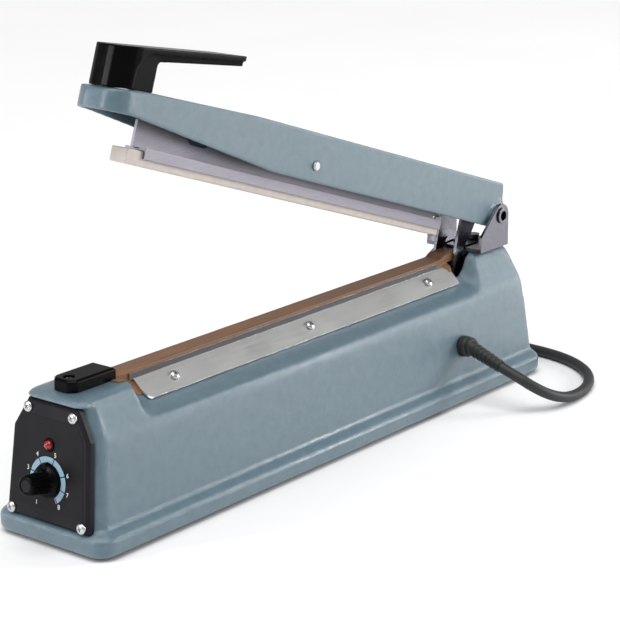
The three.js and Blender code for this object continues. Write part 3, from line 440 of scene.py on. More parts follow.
def bevelled(node, slot, width):
    """Stands in for a sheet-metal, turned or moulded node, with its edges rounded by width (mm)."""
    bm = welded(node)
    bmesh.ops.dissolve_limit(bm, angle_limit=math.radians(1.0), verts=bm.verts, edges=bm.edges)
    mesh = mesh_of(node + "_edges", bm)
    made = applied(node + "_fine", mesh, [
        ("BEVEL", {"width": width * MM, "segments": 3, "limit_method": "ANGLE",
                   "angle_limit": math.radians(28), "use_clamp_overlap": True}),
    ])
    piece = shown(node + "_fine", made, nodes[node]["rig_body"], slot, node)
    sharpen(piece, 20)


def sharpen(piece, angle, far_larger=4):
    """Breaks the shading at edges steeper than angle, and where a bevel meets a far larger flat face."""
    mesh = piece.data
    bm = bmesh.new()
    bm.from_mesh(mesh)
    for edge in bm.edges:
        if len(edge.link_faces) != 2:
            continue
        small, large = sorted(face.calc_area() for face in edge.link_faces)
        turn = math.degrees(edge.calc_face_angle(0))
        if turn > angle or (turn > 3 and large > far_larger * small):
            edge.smooth = False
    bm.to_mesh(mesh)
    bm.free()


def relaxed(mesh, rounds, share=0.5, keep_size=True, weights=1.0):
    """Laplace-smooths the mesh in place. keep_size adds the step back out that stops it shrinking."""
    count = len(mesh.vertices)
    points = np.empty(count * 3)
    mesh.vertices.foreach_get("co", points)
    points = points.reshape(-1, 3)
    edges = np.empty(len(mesh.edges) * 2, np.int64)
    mesh.edges.foreach_get("vertices", edges)
    first, second = edges.reshape(-1, 2).T
    ends = np.maximum(np.bincount(np.concatenate([first, second]), minlength=count), 1)
    steps = [share, -share * 1.04] if keep_size else [share]
    for step in steps * rounds:
        total = np.stack([np.bincount(first, points[second, axis], count)
                          + np.bincount(second, points[first, axis], count) for axis in range(3)], 1)
        points = points + weights * step * (total / ends[:, None] - points)
    mesh.vertices.foreach_set("co", points.ravel())
    mesh.update()


def points_and_normals(mesh):
    """The mesh's points in the CAD drawing's millimetres, and its normals, as arrays."""
    points, normals = np.empty(len(mesh.vertices) * 3), np.empty(len(mesh.vertices) * 3)
    mesh.vertices.foreach_get("co", points)
    mesh.vertices.foreach_get("normal", normals)
    return (points.reshape(-1, 3) - np.array(SHIFT)) / MM, normals.reshape(-1, 3)


def softened(node, slot, voxel, rounds, round_edges, weigh=None):
    """Stands in for a cast or moulded node: remeshed finely, then relaxed so its edges turn soft.

    round_edges more rounds shrink its edges round where weigh says so."""
    mesh = mesh_of(node + "_closed", welded(node))
    made = applied(node + "_fine", mesh, [("REMESH", {"mode": "VOXEL", "voxel_size": voxel * MM,
                                                      "adaptivity": 0.0})])
    relaxed(made, rounds)
    weights = weigh(*points_and_normals(made))[:, None] if weigh else 1.0
    relaxed(made, round_edges, keep_size=False, weights=weights)
    return shown(node + "_fine", made, nodes[node]["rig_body"], slot, node)


def lathe(profile, place, steps=64, ripple=None):
    """A closed turned bmesh: profile is [radius, height] in mm, turned about +Z and put in place."""
    bm = bmesh.new()
    rings = []
    for radius, height in profile:
        if radius < 1e-6:
            rings.append([bm.verts.new(place @ Vector((0, 0, height * MM)))])
            continue
        ring = []
        for i in range(steps):
            turn = 2 * math.pi * i / steps
            r = radius + (ripple(turn, radius, height) if ripple else 0)
            ring.append(bm.verts.new(place @ (Vector((r * math.cos(turn), r * math.sin(turn), height)) * MM)))
        rings.append(ring)
    for low, high in zip(rings, rings[1:] + rings[:1]):
        if len(low) == 1 and len(high) == 1:
            continue
        for i in range(steps):
            j = (i + 1) % steps
            corners = [low[i % len(low)], low[j % len(low)], high[j % len(high)], high[i % len(high)]]
            unique = list(dict.fromkeys(corners))
            if len(unique) > 2:
                bm.faces.new(unique)
    return bm


def swept(sections):
    """A bmesh skin through rings: each is a list of points, all of one length."""
    bm = bmesh.new()
    rings = [[bm.verts.new(point) for point in ring] for ring in sections]
    count = len(rings[0])
    for low, high in zip(rings, rings[1:]):
        for i in range(count):
            j = (i + 1) % count
            bm.faces.new((low[i], low[j], high[j], high[i]))
    bm.faces.new(rings[0])
    bm.faces.new(rings[-1])
    return bm


def tube_rings(points, radius, sides=12):
    """Rings of a round tube along points, carried without twist. radius is a number or a list."""
    radii = radius if isinstance(radius, list) else [radius] * len(points)
    rings = []
    normal = None
    for i, point in enumerate(points):
        ahead = points[min(i + 1, len(points) - 1)]
        behind = points[max(i - 1, 0)]
        along = (ahead - behind).normalized()
        if normal is None:
            normal = along.orthogonal().normalized()
        normal = (normal - along * normal.dot(along)).normalized()
        side = along.cross(normal)
        rings.append([
            point + radii[i] * (math.cos(a) * normal + math.sin(a) * side)
            for a in (2 * math.pi * k / sides for k in range(sides))
        ])
    return rings


def smooth_path(points, steps):
    """A centripetal Catmull-Rom line through points, with steps points in each span."""
    points = [points[0] * 2 - points[1], *points, points[-1] * 2 - points[-2]]
    line = []
    for i in range(1, len(points) - 2):
        p0, p1, p2, p3 = points[i - 1:i + 3]
        t1 = max((p1 - p0).length, 1e-9) ** 0.5
        t2 = t1 + max((p2 - p1).length, 1e-9) ** 0.5
        t3 = t2 + max((p3 - p2).length, 1e-9) ** 0.5
        for k in range(steps):
            t = t1 + (t2 - t1) * k / steps
            a1 = p0.lerp(p1, t / t1)
            a2 = p1.lerp(p2, (t - t1) / (t2 - t1))
            a3 = p2.lerp(p3, (t - t2) / (t3 - t2))
            b1 = a1.lerp(a2, t / t2)
            b2 = a2.lerp(a3, (t - t1) / (t3 - t1))
            line.append(b1.lerp(b2, (t - t1) / (t2 - t1)))
    line.append(points[-2])
    return line


# ------------------------------------------------------------------ mains lead
GLAND = {"x": 41, "y": 131.5, "z": 34.5, "tilt": math.radians(20), "relief": 24}


def relief_end(extra):
    reach = GLAND["relief"] + extra
    return (GLAND["x"] + reach * math.cos(GLAND["tilt"]), GLAND["y"],
            GLAND["z"] - reach * math.sin(GLAND["tilt"]))


LEAD_ROUTE = [
    relief_end(0.3), relief_end(4.3), (77, 132.6, 21.1), (84.5, 136.5, 16.2), (90, 143.5, 11),
    (93, 153, 6.6), (94, 164, 3.5), (93.5, 176, 2), (91, 190, 1.6), (84.5, 206, 1.6), (73, 221, 1.6),
    (58, 232, 1.6), (40, 239, 1.6), (20, 241.8, 1.6), (0, 241.5, 1.6), (-19, 237.5, 1.6),
    (-35.5, 229, 1.6), (-46, 216, 1.6), (-50.2, 199, 1.6), (-50.2, 180, 1.6), (-49.6, 160, 1.6),
    (-49.5, 140, 1.6), (-49.5, 121.5, 1.6),
]
TAIL_ROUTE = [(-137, 127, 8.4), (-137, 135, 7.5), (-137, 143, 6.4), (-137, 151.6, 5.4)]
COIL = {"x": -95, "y": 95, "outer": 45.5, "inner": 31.5, "leaving": 42, "turns_down": 2.0, "turns_up": 1.5}


def coil_route(steps_per_turn=24):
    """Two turns spiral inwards on the floor, climb one cord's height, and spiral out again on top."""
    climb = 1 / 6
    pitch = 2 * CORD_RADIUS
    whole = COIL["turns_down"] + COIL["turns_up"]
    points = []
    for i in range(round(whole * steps_per_turn) + 1):
        turn = i / steps_per_turn
        rise = min(max((turn - (COIL["turns_down"] - climb / 2)) / climb, 0), 1)
        if turn < COIL["turns_down"]:
            radius = COIL["outer"] - pitch * turn
        else:
            radius = COIL["inner"] + pitch * (turn - COIL["turns_down"])
        angle = -2 * math.pi * turn
        height = FLOOR_CORD_Z + (pitch - 0.1) * rise * rise * (3 - 2 * rise)
        points.append((COIL["x"] + radius * math.cos(angle), COIL["y"] + radius * math.sin(angle), height))
    return points


def mains_lead():
    route = [at(*p) for p in [*LEAD_ROUTE, *coil_route(), *TAIL_ROUTE]]
    line = smooth_path(route, 3)
    curve = bpy.data.curves.new("mains_lead", "CURVE")
    curve.dimensions = "3D"
    spline = curve.splines.new("POLY")
    spline.points.add(len(line) - 1)
    for slot, point in zip(spline.points, line):
        slot.co = (*point, 1)
    curve.bevel_depth = CORD_RADIUS * MM
    curve.bevel_resolution = 5
    curve.use_fill_caps = True
    lead = bpy.data.objects.new("mains_lead", curve)
    scene.collection.objects.link(lead)
    curve.materials.append(LOOKS["rubber"])
    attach(lead, "base")
    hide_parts("power_cord", "power_cord_coil", "power_cord_tail")
    length = sum((b - a).length for a, b in zip(line, line[1:]))
    return lead, route[0], length


def gland():
    """The moulded gland on the wall and its ribbed strain relief, tilting down along the lead."""
    lean = math.atan((WALL["low_x"] - WALL["high_x"]) / (WALL["high_z"] - WALL["low_z"]))
    wall_x = WALL["low_x"] - (GLAND["z"] - WALL["low_z"]) * math.tan(lean)
    on_wall = Matrix.Translation(at(wall_x, GLAND["y"], GLAND["z"])) @ Matrix.Rotation(
        math.radians(90) - lean, 4, "Y")
    collar = [(3.9, -8), (5.2, -8), (5.2, 0.3), (6.3, 0.3), (6.8, 0.8), (6.8, 4.4), (6.5, 5.0), (6.1, 5.3),
              (5.9, 7.9), (5.4, 8.5), (0, 8.5), (0, -6), (3.9, -6)]
    bm = lathe(collar, on_wall, 48)
    tilted = Matrix.Translation(at(GLAND["x"], GLAND["y"], GLAND["z"])) @ Matrix.Rotation(
        math.radians(90) + GLAND["tilt"], 4, "Y")
    ribs = 7
    sleeve = [(0, -2), (4.9, -2)]
    for i in range(ribs):
        start = GLAND["relief"] * i / ribs
        radius = 4.9 - 0.9 * i / ribs
        pitch = GLAND["relief"] / ribs
        sleeve += [(radius, start + 0.2 * pitch), (radius, start + 0.62 * pitch),
                   (radius - 0.75, start + 0.74 * pitch), (radius - 0.75, start + 0.98 * pitch)]
    sleeve += [(3.85, GLAND["relief"]), (0, GLAND["relief"])]
    bm.from_mesh(mesh_of("gland_sleeve", lathe(sleeve, tilted, 40)))
    piece = shown("cord_gland_fine", mesh_of("cord_gland_fine", bm), "base", "rubber", "cord_gland")
    sharpen(piece, 35)
    return piece


def plug():
    """A two-pin plug: a soft waisted body, and round pins with sleeved roots."""
    centre_z = FLOOR_CORD_Z + PLUG["lift"]
    sections = []
    stations = [(152.3, 4.3, 0.80), (154, 4.6, 0.80), (160, 5.2, 0.78), (168, 6.9, 0.75), (176, 8.5, 0.75),
                (184, 8.95, 0.75), (189, 9.0, 0.75), (191.2, 8.7, 0.73), (192, 8.0, 0.70)]
    for y, half, flat in stations:
        ring = []
        for k in range(32):
            turn = 2 * math.pi * k / 32
            c, s = math.cos(turn), math.sin(turn)
            x = (half + 2) * math.copysign(abs(c) ** 0.62, c)
            z = half * flat * math.copysign(abs(s) ** 0.62, s)
            ring.append(at(PLUG["x"] + x, y, centre_z + z))
        sections.append(ring)
    bm = swept(sections)
    mesh = applied("power_plug_fine", mesh_of("plug_body", bm), [("SUBSURF", {"levels": 1})])
    whole = bmesh.new()
    whole.from_mesh(mesh)
    for side in (-1, 1):
        place = Matrix.Translation(at(PLUG["x"] + side * 6, 0, centre_z)) @ Matrix.Rotation(
            math.radians(-90), 4, "X")
        pin = [(0, 190), (2.3, 190), (2.3, 200.4), (2.15, 200.7), (2.15, 208.2), (1.7, 209.5), (0, 210)]
        part = mesh_of("pin", lathe(pin, place, 24))
        whole.from_mesh(part)
    return shown("power_plug_fine", mesh_of("power_plug_fine", whole), "base", "black_plastic",
                 "power_plug")


lead, lead_start, lead_length = mains_lead()
gland_piece = gland()
plug_piece = plug()


# ------------------------------------------------------------------ fasteners
def cross_head(name, node, place, radius, height, shank, length):
    """A pan-head screw with a Phillips cross cut into its crown. place puts its seat at height 0."""
    crown = [(0, -length), (shank * 0.7, -length), (shank, -length + 0.6), (shank, 0), (radius, 0),
             (radius, height * 0.28)]
    steps = 8
    for i in range(1, steps):
        turn = math.pi / 2 * i / steps
        r = radius * math.cos(turn) ** 0.8
        crown.append((r, height * (0.28 + 0.72 * math.sin(turn))))
    crown += [(0, height)]
    head = mesh_of("head", lathe(crown, Matrix(), 40))
    cross = bmesh.new()
    arm = radius * 0.58
    width = radius * 0.145
    for turn in (0, math.pi / 2):
        made = bmesh.ops.create_cube(cross, size=1, matrix=Matrix.Rotation(turn, 4, "Z")
                                     @ Matrix.Translation((0, 0, height * MM))
                                     @ Matrix.Diagonal((2 * arm * MM, 2 * width * MM, height * 1.3 * MM, 1)))
        bottom = [v for v in made["verts"] if v.co.z < height * MM]
        for v in bottom:
            v.co.x *= 0.55
            v.co.y *= 0.55
    tool = bpy.data.objects.new("tool", mesh_of("tool", cross))
    scene.collection.objects.link(tool)
    tool.hide_render = True
    mesh = applied("recessed", head, [("BOOLEAN", {"object": tool, "operation": "DIFFERENCE",
                                                   "solver": "EXACT", "use_self": True})])
    bpy.data.objects.remove(tool)
    mesh.transform(place)
    piece = shown(name, mesh, nodes[node]["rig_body"], "steel", node, look=HEAD_STEEL)
    sharpen(piece, 32)
    return piece


def on_panel(x, y, height):
    """A place on the leaning front wall: x and y on it in mm, height out of it."""
    z = KNOB_Z + y * math.cos(PANEL_LEAN)
    wall_y = FRONT_WALL["y"] + math.tan(PANEL_LEAN) * (z - FRONT_WALL["z"])
    turn = Matrix.Rotation(math.radians(90) - PANEL_LEAN, 4, "X")
    return Matrix.Translation(at(x, wall_y, z)) @ turn @ Matrix.Translation((0, 0, height * MM))


def on_slope(y, along, height, side):
    """A place on a sloped shoulder, with +Z square to it. side is 1 on the right and -1 on the left."""
    x = SLOPE["x"] + along * math.cos(SLOPE["angle"]) + height * math.sin(SLOPE["angle"])
    z = SLOPE["z"] - along * math.sin(SLOPE["angle"]) + height * math.cos(SLOPE["angle"])
    return Matrix.Translation(at(side * x, y, z)) @ Matrix.Rotation(side * SLOPE["angle"], 4, "Y")


def fasteners():
    for i, (x, y) in enumerate([(-16.9, 38.4), (16.9, 38.4), (-26.8, -20.8), (26.8, -20.8)]):
        turn = Matrix.Rotation(rng.uniform(0, math.pi), 4, "Z")
        place = on_panel(x, y, PANEL_THICKNESS + 0.2) @ turn
        cross_head(f"panel_screw_{i + 1}_fine", f"panel_screw_{i + 1}", place, 3.1, 1.7, 1.6, 11.5)
    for i, y in enumerate([-123.5, -1.5, 120.5]):
        for side, word in ((1, "right"), (-1, "left")):
            node = f"side_plate_screw_{word}_{i + 1}"
            turn = Matrix.Rotation(rng.uniform(0, math.pi), 4, "Z")
            cross_head(node + "_fine", node, on_slope(y, 7, 2.0, side) @ turn, 3.1, 2.2, 1.4, 7.5)
    place = Matrix.Translation(at(0, -194, 89.1))
    cover_screw = cross_head("front_cover_screw_fine", "front_cover_screw", place, 3.0, 1.5, 1.4, 13)
    cover_screw.data.materials[0] = LOOKS["zinc"]
    for i, (x, y) in enumerate([(-26, -186), (26, -186), (-26, 186), (26, 186)]):
        place = Matrix.Translation(at(x, y, -1.2)) @ Matrix.Rotation(math.pi, 4, "X")
        cross_head(f"foot_screw_{i + 1}_fine", f"foot_screw_{i + 1}", place, 3.6, 0.6, 1.6, 14)


fasteners()


# ------------------------------------------------------------------ painted castings and the handle
def ramp(value, low, high):
    """0 at low, 1 at high, smooth between."""
    t = np.clip((value - low) / (high - low), 0, 1)
    return t * t * (3 - 2 * t)


def casting_edges(points, normals):
    """Where the casting's outer edges are rounded most: its crest, end blocks and outer corners."""
    x, y, z = points.T
    end = np.sign(y) * np.maximum(np.abs(y) - 165, 0)
    outward = (normals * np.stack([x, end, z - 40], 1)).sum(1) > 0
    crest = ramp(np.abs(x), 20, 24) * ramp(z, 48, 54) * ramp(z, 76, 70)
    rear = ramp(y, 160, 170) * ramp(z, 56, 64)
    front = 0.7 * ramp(y, -160, -170) * ramp(z, 74, 80)
    clear_of_slot = np.maximum(ramp(np.abs(x), 13, 16), ramp(y, 186, 190))
    clear_of_panel = np.maximum(ramp(y, -204, -198), ramp(z, 80, 83))
    return outward * np.maximum(np.maximum(crest, rear * clear_of_slot), front * clear_of_panel)


casting = softened("base_casting", "cast_paint", 1.15, 8, 42, casting_edges)
softened("press_arm", "cast_paint", 0.75, 4, 9)
softened("press_handle", "black_plastic", 0.5, 5, 3)


# ------------------------------------------------------------------ sheet metal and small parts
BEVELS = [  # node, material slot, width in mm
    ("bottom_cover", "zinc", 0.4), ("transformer_core", "core", 0.3), ("transformer_coil", "copper", 1.2),
    ("microswitch_body", "black_plastic", 0.4), ("microswitch_button", "lens", 0.2),
    ("switch_bracket", "zinc", 0.2), ("platen_bar", "aluminium", 0.35),
    ("platen_insulation", "glass_cloth", 0.05),
    ("heating_element", "element", 0.03), ("front_terminal", "brass", 0.15),
    ("rear_terminal", "brass", 0.15), ("side_plate_right", "steel", 0.22),
    ("side_plate_left", "steel", 0.22), ("front_cover", "black_plastic", 0.5),
    ("hinge_bracket", "zinc", 0.3), ("bracket_bolt_1", "zinc", 0.35), ("bracket_bolt_2", "zinc", 0.35),
    ("hinge_pin", "steel", 0.2), ("lift_fork", "zinc", 0.3), ("press_bar_pivot", "steel", 0.25),
    ("press_bar", "aluminium", 0.25), ("silicone_strip", "silicone", 0.6),
    ("control_panel", "panel_plastic", 0.45), ("potentiometer", "zinc", 0.2),
    ("potentiometer_shaft", "aluminium", 0.2), ("timer_board", "board", 0.15),
    ("handle_screw_1", "steel", 0.2), ("handle_screw_2", "steel", 0.2),
    ("foot_1", "rubber", 0.3), ("foot_2", "rubber", 0.3), ("foot_3", "rubber", 0.3),
    ("foot_4", "rubber", 0.3),
]
for node, slot, width in BEVELS:
    bevelled(node, slot, width)


PLATE_FACE, PLATE_EDGE, PLATE_LIP = range(3)  # material indices of a side plate
LIP_AREA = 3e-5  # square metres; the lip's faces are larger than this, a cut edge's are smaller


def finish_plate(piece):
    """Leaves a side plate's face satin, paints its cut edges near-white as a painted highlight and its
    upright lip dark as painted shade.
    """
    piece.data.materials.append(CUT_EDGE_HIGHLIGHT)
    piece.data.materials.append(SHADED_LIP)
    side = 1 if sum(v.co.x for v in piece.data.vertices) > 0 else -1
    face_normal = Vector((side * math.sin(SLOPE["angle"]), 0, math.cos(SLOPE["angle"])))
    for face in piece.data.polygons:
        if abs(face.normal.dot(face_normal)) > 0.98:
            face.material_index = PLATE_FACE
            continue
        # Painted shade and highlight: sideways faces (the upright lip) take the dark copy of the steel; other
        # edge faces take the near-white copy.
        upright = abs(face.normal.x) > 0.8 and face.area > LIP_AREA
        face.material_index = PLATE_LIP if upright else PLATE_EDGE


for word in ("right", "left"):
    finish_plate(bpy.data.objects[f"side_plate_{word}_fine"])
bpy.data.objects["hinge_pin_fine"].data.materials[0] = LOOKS["zinc"]


# ------------------------------------------------------------------ timer: label, dial, knob and lamp
DIAL = {"inner": 10.2, "outer": 13.5, "from": -90, "to": 150, "gap": 0.7, "numerals": 15.9}
NUMERALS = {1: -150, 2: -112, 3: -74, 4: -33, 5: 18, 6: 68, 7: 108, 8: 145}  # degrees clockwise from up


def slab(bm, outline, low, high, place):
    """Adds a prism over outline, [x, y] points in mm, from low to high, to bm."""
    rings = [[bm.verts.new(place @ (Vector((x, y, z)) * MM)) for x, y in outline] for z in (low, high)]
    count = len(outline)
    bm.faces.new(rings[0][::-1])
    bm.faces.new(rings[1])
    for i in range(count):
        j = (i + 1) % count
        bm.faces.new((rings[0][i], rings[0][j], rings[1][j], rings[1][i]))


def timer_label():
    half = [(27.4, -16.6), (25.2, 26.2), (20.3, 34.8)]
    outline = half + [(-x, y) for x, y in reversed(half)]
    bm = bmesh.new()
    slab(bm, outline, PANEL_THICKNESS - 0.05, PANEL_THICKNESS + 0.14, on_panel(0, 0, 0))
    shown("timer_label", mesh_of("timer_label", bm), "base", "panel_plastic", look=LABEL, smooth=False)


def dial_arc():
    """The blue scale round the knob, in segments with a gap at each numeral."""
    stops = [DIAL["from"], *(NUMERALS[n] for n in range(3, 9)), DIAL["to"]]
    margin = math.degrees(DIAL["gap"] / 2 / DIAL["outer"])
    bm = bmesh.new()
    for start, end in zip(stops, stops[1:]):
        turns = np.radians(np.linspace(start + margin, end - margin, 14))
        outer = [(DIAL["outer"] * math.sin(t), DIAL["outer"] * math.cos(t)) for t in turns]
        inner = [(DIAL["inner"] * math.sin(t), DIAL["inner"] * math.cos(t)) for t in turns[::-1]]
        slab(bm, outer + inner, PANEL_THICKNESS + 0.1, PANEL_THICKNESS + 0.22, on_panel(0, 0, 0))
    shown("dial_arc", mesh_of("dial_arc", bm), "base", "panel_plastic", look=DIAL_BLUE, smooth=False)


def dial_numerals(size=3.7):
    """The numbers 1 to 8 round the dial, cut from text curves."""
    whole = bmesh.new()
    for number, degrees in NUMERALS.items():
        curve = bpy.data.curves.new("numeral", "FONT")
        curve.body = str(number)
        curve.size = size
        curve.extrude = 0.06
        curve.align_x = "CENTER"
        curve.align_y = "CENTER"
        text = bpy.data.objects.new("numeral", curve)
        scene.collection.objects.link(text)
        mesh = bpy.data.meshes.new_from_object(text.evaluated_get(bpy.context.evaluated_depsgraph_get()))
        bpy.data.objects.remove(text)
        turn = math.radians(degrees)
        x, y = DIAL["numerals"] * math.sin(turn), DIAL["numerals"] * math.cos(turn)
        mesh.transform(on_panel(0, 0, PANEL_THICKNESS + 0.16) @ Matrix.Scale(MM, 4)
                       @ Matrix.Translation((x, y, 0)))
        whole.from_mesh(mesh)
    shown("dial_numerals", mesh_of("dial_numerals", whole), "base", "panel_plastic", look=DIAL_WHITE,
          smooth=False)


def timer_knob():
    """A skirted knob with a fluted grip, a dished cap and a pointer on its skirt."""
    low, high = PANEL_THICKNESS + 0.5, PANEL_THICKNESS + 17

    def flutes(turn, radius, height):
        deep = radius > 5 and low + 3.2 < height < high - 0.9
        return -0.34 * (0.5 + 0.5 * math.cos(16 * turn)) ** 2 if deep else 0

    profile = [(3.1, low), (8.9, low), (9.2, low + 0.3), (9.2, low + 1.9), (9.0, low + 2.25),
               (8.6, low + 2.4), (7.4, low + 2.5), (6.95, low + 2.7), (6.8, low + 3.1),
               (6.76, low + 3.6), (6.1, low + 9), (5.5, high - 1.2), (5.42, high - 0.8),
               (5.3, high - 0.35), (5.0, high - 0.08), (4.7, high), (4.1, high), (3.8, high - 0.15),
               (3.65, high - 0.45), (0, high - 0.5), (0, 18.4), (3.1, 18.4)]
    bm = lathe(profile, on_panel(0, 0, 0), 96, flutes)
    slab(bm, [(-1.6, 7), (1.6, 7), (0.25, 10.7), (-0.25, 10.7)], low + 0.1, low + 2.9, on_panel(0, 0, 0))
    piece = shown("timer_knob_fine", mesh_of("timer_knob_fine", bm), "knob", "black_plastic", "timer_knob")
    sharpen(piece, 40)
    cap = lathe([(0, high - 0.6), (3.5, high - 0.6), (3.5, high - 0.2), (3.3, high - 0.1), (0, high - 0.1)],
                on_panel(0, 0, 0), 48)
    shown("knob_cap", mesh_of("knob_cap", cap), "knob", "panel_plastic", smooth=False)


def lamp():
    dome = [(0, -13.9), (2.4, -13.9), (2.4, 1), (2.75, 1), (2.75, 6.0)]
    dome += [(2.75 * math.cos(t), 6.0 + 2.3 * math.sin(t)) for t in np.radians(range(12, 90, 13))]
    dome += [(0, 8.3)]
    bm = lathe(dome, on_panel(0, LAMP_Y, 0), 40)
    piece = shown("indicator_lens_fine", mesh_of("indicator_lens_fine", bm), "base", "lens", "indicator_lens")
    sharpen(piece, 40)
    bezel = [(3.0, PANEL_THICKNESS), (3.9, PANEL_THICKNESS), (3.9, 5.9), (3.6, 6.2), (3.2, 6.2), (3.0, 5.9)]
    ring = shown("lamp_bezel", mesh_of("lamp_bezel", lathe(bezel, on_panel(0, LAMP_Y, 0), 40)), "base",
                 "black_plastic")
    sharpen(ring, 40)


timer_label()
dial_arc()
dial_numerals()
timer_knob()
lamp()


# ------------------------------------------------------------------ PTFE tape over the platen
TAPE = {"front": -170.5, "rear": 165.5, "half": 6.5, "foot": 10.4, "side_rear": 150.5, "step": 1.6}
FOOT_POINTS = 9
RISES = {"y": [-171, -165.5, 144.2, 146, 149.2, 154, 166], "rise": [1, 0, 0, 1.4, 2.6, 2.8, 2]}


def tape_half(y):
    """The right half of the tape's section at y, from its foot on the slope to the middle, as [x, z]."""
    rise = float(np.interp(y, RISES["y"], RISES["rise"]))
    flare = float(ramp(y, 139, 150))
    cos, sin = math.cos(SLOPE["angle"]), math.sin(SLOPE["angle"])
    points = []
    for along in np.linspace(TAPE["foot"], 0.4, FOOT_POINTS):
        lift = 0.42 + flare * (0.5 + 0.28 * (TAPE["foot"] - along)) * (0.8 + 0.2 * math.sin(y * 1.3 + along))
        points.append((SLOPE["x"] + along * cos + lift * sin, SLOPE["z"] - along * sin + lift * cos))
    top = TAPE_TOP + rise
    for z in np.linspace(80.4 + flare * 2.2, top - 0.9, 6):
        points.append((TAPE["half"], z))
    for turn in np.radians([15, 45, 75]):
        points.append((TAPE["half"] - 0.8 + 0.8 * math.cos(turn), top - 0.8 + 0.8 * math.sin(turn)))
    for x in (4.6, 3.2, 1.6, 0.0):
        points.append((x, top + 0.05 * math.cos(x)))
    return points


def tape_cover():
    """The brown tape: over the bar, down its sides and out under the side plates, with a lifted rear end."""
    surface = BVHTree.FromPolygons([v.co for v in casting.data.vertices],
                                   [tuple(f.vertices) for f in casting.data.polygons])
    stations = list(np.arange(TAPE["front"], TAPE["rear"], TAPE["step"])) + [TAPE["rear"]]
    bm = bmesh.new()
    rows = []
    for y in stations:
        rumpled = float(ramp(y, 120, 150))
        half = tape_half(y)
        whole = half + [(-x, z) for x, z in reversed(half[:-1])]
        row = []
        for k, (x, z) in enumerate(whole):
            crease = 0.10 * noise.noise(Vector((k * 0.35, y * 0.06, 3.0)))
            crease += 0.16 * rumpled * noise.noise(Vector((k * 0.5, y * 0.35, 8.0)))
            point = at(x + crease * (1 if x > 0 else -1) * (abs(x) > 5), y, z + crease * 0.6)
            hit = surface.ray_cast(point + Vector((0, 0, 0.02)), Vector((0, 0, -1)), 0.03)
            floor = hit[0].z + 0.35 * MM if hit[0] else point.z
            point.z = max(point.z, floor)
            row.append(bm.verts.new(point))
        rows.append(row)
    last = len(rows[0]) - 1
    for i, (low, high) in enumerate(zip(rows, rows[1:])):
        for k in range(last):
            on_side = min(k, last - 1 - k) < FOOT_POINTS
            ragged = TAPE["side_rear"] + 1.2 * noise.noise(Vector((k * 0.9, 1.0, 0.0)))
            if on_side and stations[i + 1] > ragged:
                continue
            bm.faces.new((low[k], low[k + 1], high[k + 1], high[k]))
    bmesh.ops.delete(bm, geom=[v for v in bm.verts if not v.link_faces], context="VERTS")
    sheet = mesh_of("tape_sheet", bm)
    made = applied("ptfe_cover_fine", sheet, [("SUBSURF", {"levels": 1}),
                                              ("SOLIDIFY", {"thickness": 0.2 * MM, "offset": 0.0})])
    piece = shown("ptfe_cover_fine", made, "base", "ptfe", "ptfe_cover")


tape_cover()


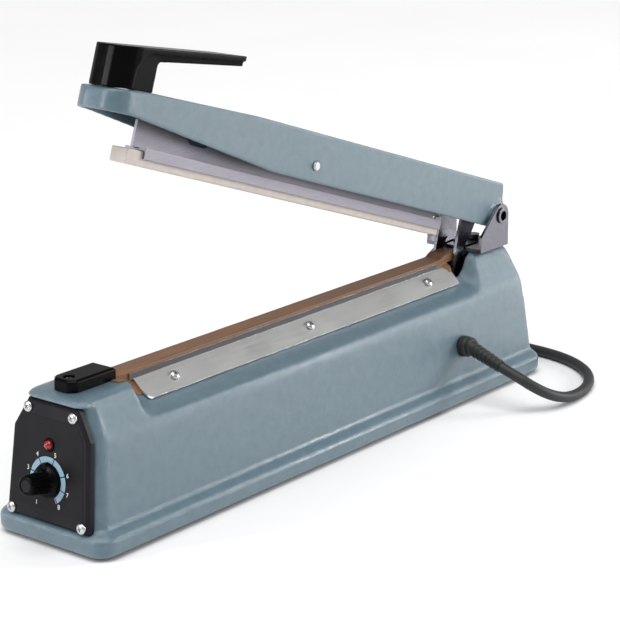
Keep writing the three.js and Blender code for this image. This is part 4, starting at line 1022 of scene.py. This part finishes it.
# ------------------------------------------------------------------ lift spring
def lift_spring():
    """A close-wound extension spring from the bracket in the base up to the fork's cross rod."""
    cos, sin = math.cos(OPEN_ANGLE), math.sin(OPEN_ANGLE)
    rod = Vector((0, HINGE["y"] - FORK_ROD["u"] * cos - FORK_ROD["v"] * sin,
                  HINGE["z"] + FORK_ROD["u"] * sin - FORK_ROD["v"] * cos))
    anchor = Vector((0, SPRING["y"], SPRING["z"]))
    along = (rod - anchor).normalized()
    side = Vector((1, 0, 0))
    across = along.cross(side)
    reach = (rod - anchor).length
    start, end = 5.5, reach - 11
    turns, steps = SPRING["turns"], SPRING["steps"]
    path = [anchor + along * 0.2 + across * 0.3, anchor + along * 2.2]
    for i in range(turns * steps + 1):
        turn = 2 * math.pi * i / steps
        share = i / (turns * steps)
        grown = min(1, share * turns, (1 - share) * turns)
        path.append(anchor + along * (start + (end - start) * share)
                    + SPRING["radius"] * grown * (math.cos(turn) * side + math.sin(turn) * across))
    hook = SPRING["radius"]
    for degrees in range(75, 215, 17):
        turn = math.radians(degrees)
        path.append(rod - along * hook * math.cos(turn) - across * hook * math.sin(turn))
    points = [at(*p) for p in path]
    bm = swept(tube_rings(points, SPRING["wire"] * MM, 10))
    piece = shown("lift_spring_fine", mesh_of("lift_spring_fine", bm), "base", "steel", "lift_spring")
    piece.parent = None  # shown() rides every piece; this one is taken off its body and baked in place instead
    del piece["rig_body"]
    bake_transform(piece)


lift_spring()


# ------------------------------------------------------------------ floor, light and room
def lay_floor():
    floor_mesh = bpy.data.meshes.new("floor")
    bm = bmesh.new()
    bmesh.ops.create_grid(bm, x_segments=8, y_segments=8, size=6)
    bm.to_mesh(floor_mesh)
    bm.free()
    floor_mesh.materials.append(floor_paper())
    floor = bpy.data.objects.new("floor", floor_mesh)
    scene.collection.objects.link(floor)


def light_room():
    """A dim even room, a wide soft light from above, a strip in front and a box at the rear right."""
    world = bpy.data.worlds.new("studio")
    world.use_nodes = True
    background = world.node_tree.nodes["Background"]
    background.inputs["Color"].default_value = (1, 1, 1, 1)
    background.inputs["Strength"].default_value = 0.42
    scene.world = world
    sky = bpy.data.lights.new("sky", "SUN")
    sky.energy = 2.15
    sky.angle = math.radians(50)
    overhead = bpy.data.objects.new("sky", sky)
    overhead.rotation_euler = Vector((0.15, -0.3, 1)).to_track_quat("Z", "Y").to_euler()
    scene.collection.objects.link(overhead)
    target = Vector((0, 0, 0.1))
    for name, place, size, power in [
        ("front_strip", (-0.62, -1.2, 0.52), (0.14, 0.6), 6),
        ("rear_box", (1.15, 1.35, 0.56), (0.5, 0.8), 18),
    ]:
        data = bpy.data.lights.new(name, "AREA")
        data.shape = "RECTANGLE"
        data.size, data.size_y = size
        data.energy = power
        light = bpy.data.objects.new(name, data)
        light.location = place
        light.rotation_euler = (target - Vector(place)).to_track_quat("-Z", "Y").to_euler()
        scene.collection.objects.link(light)
    scene.view_settings.view_transform = "Standard"


lay_floor()
light_room()
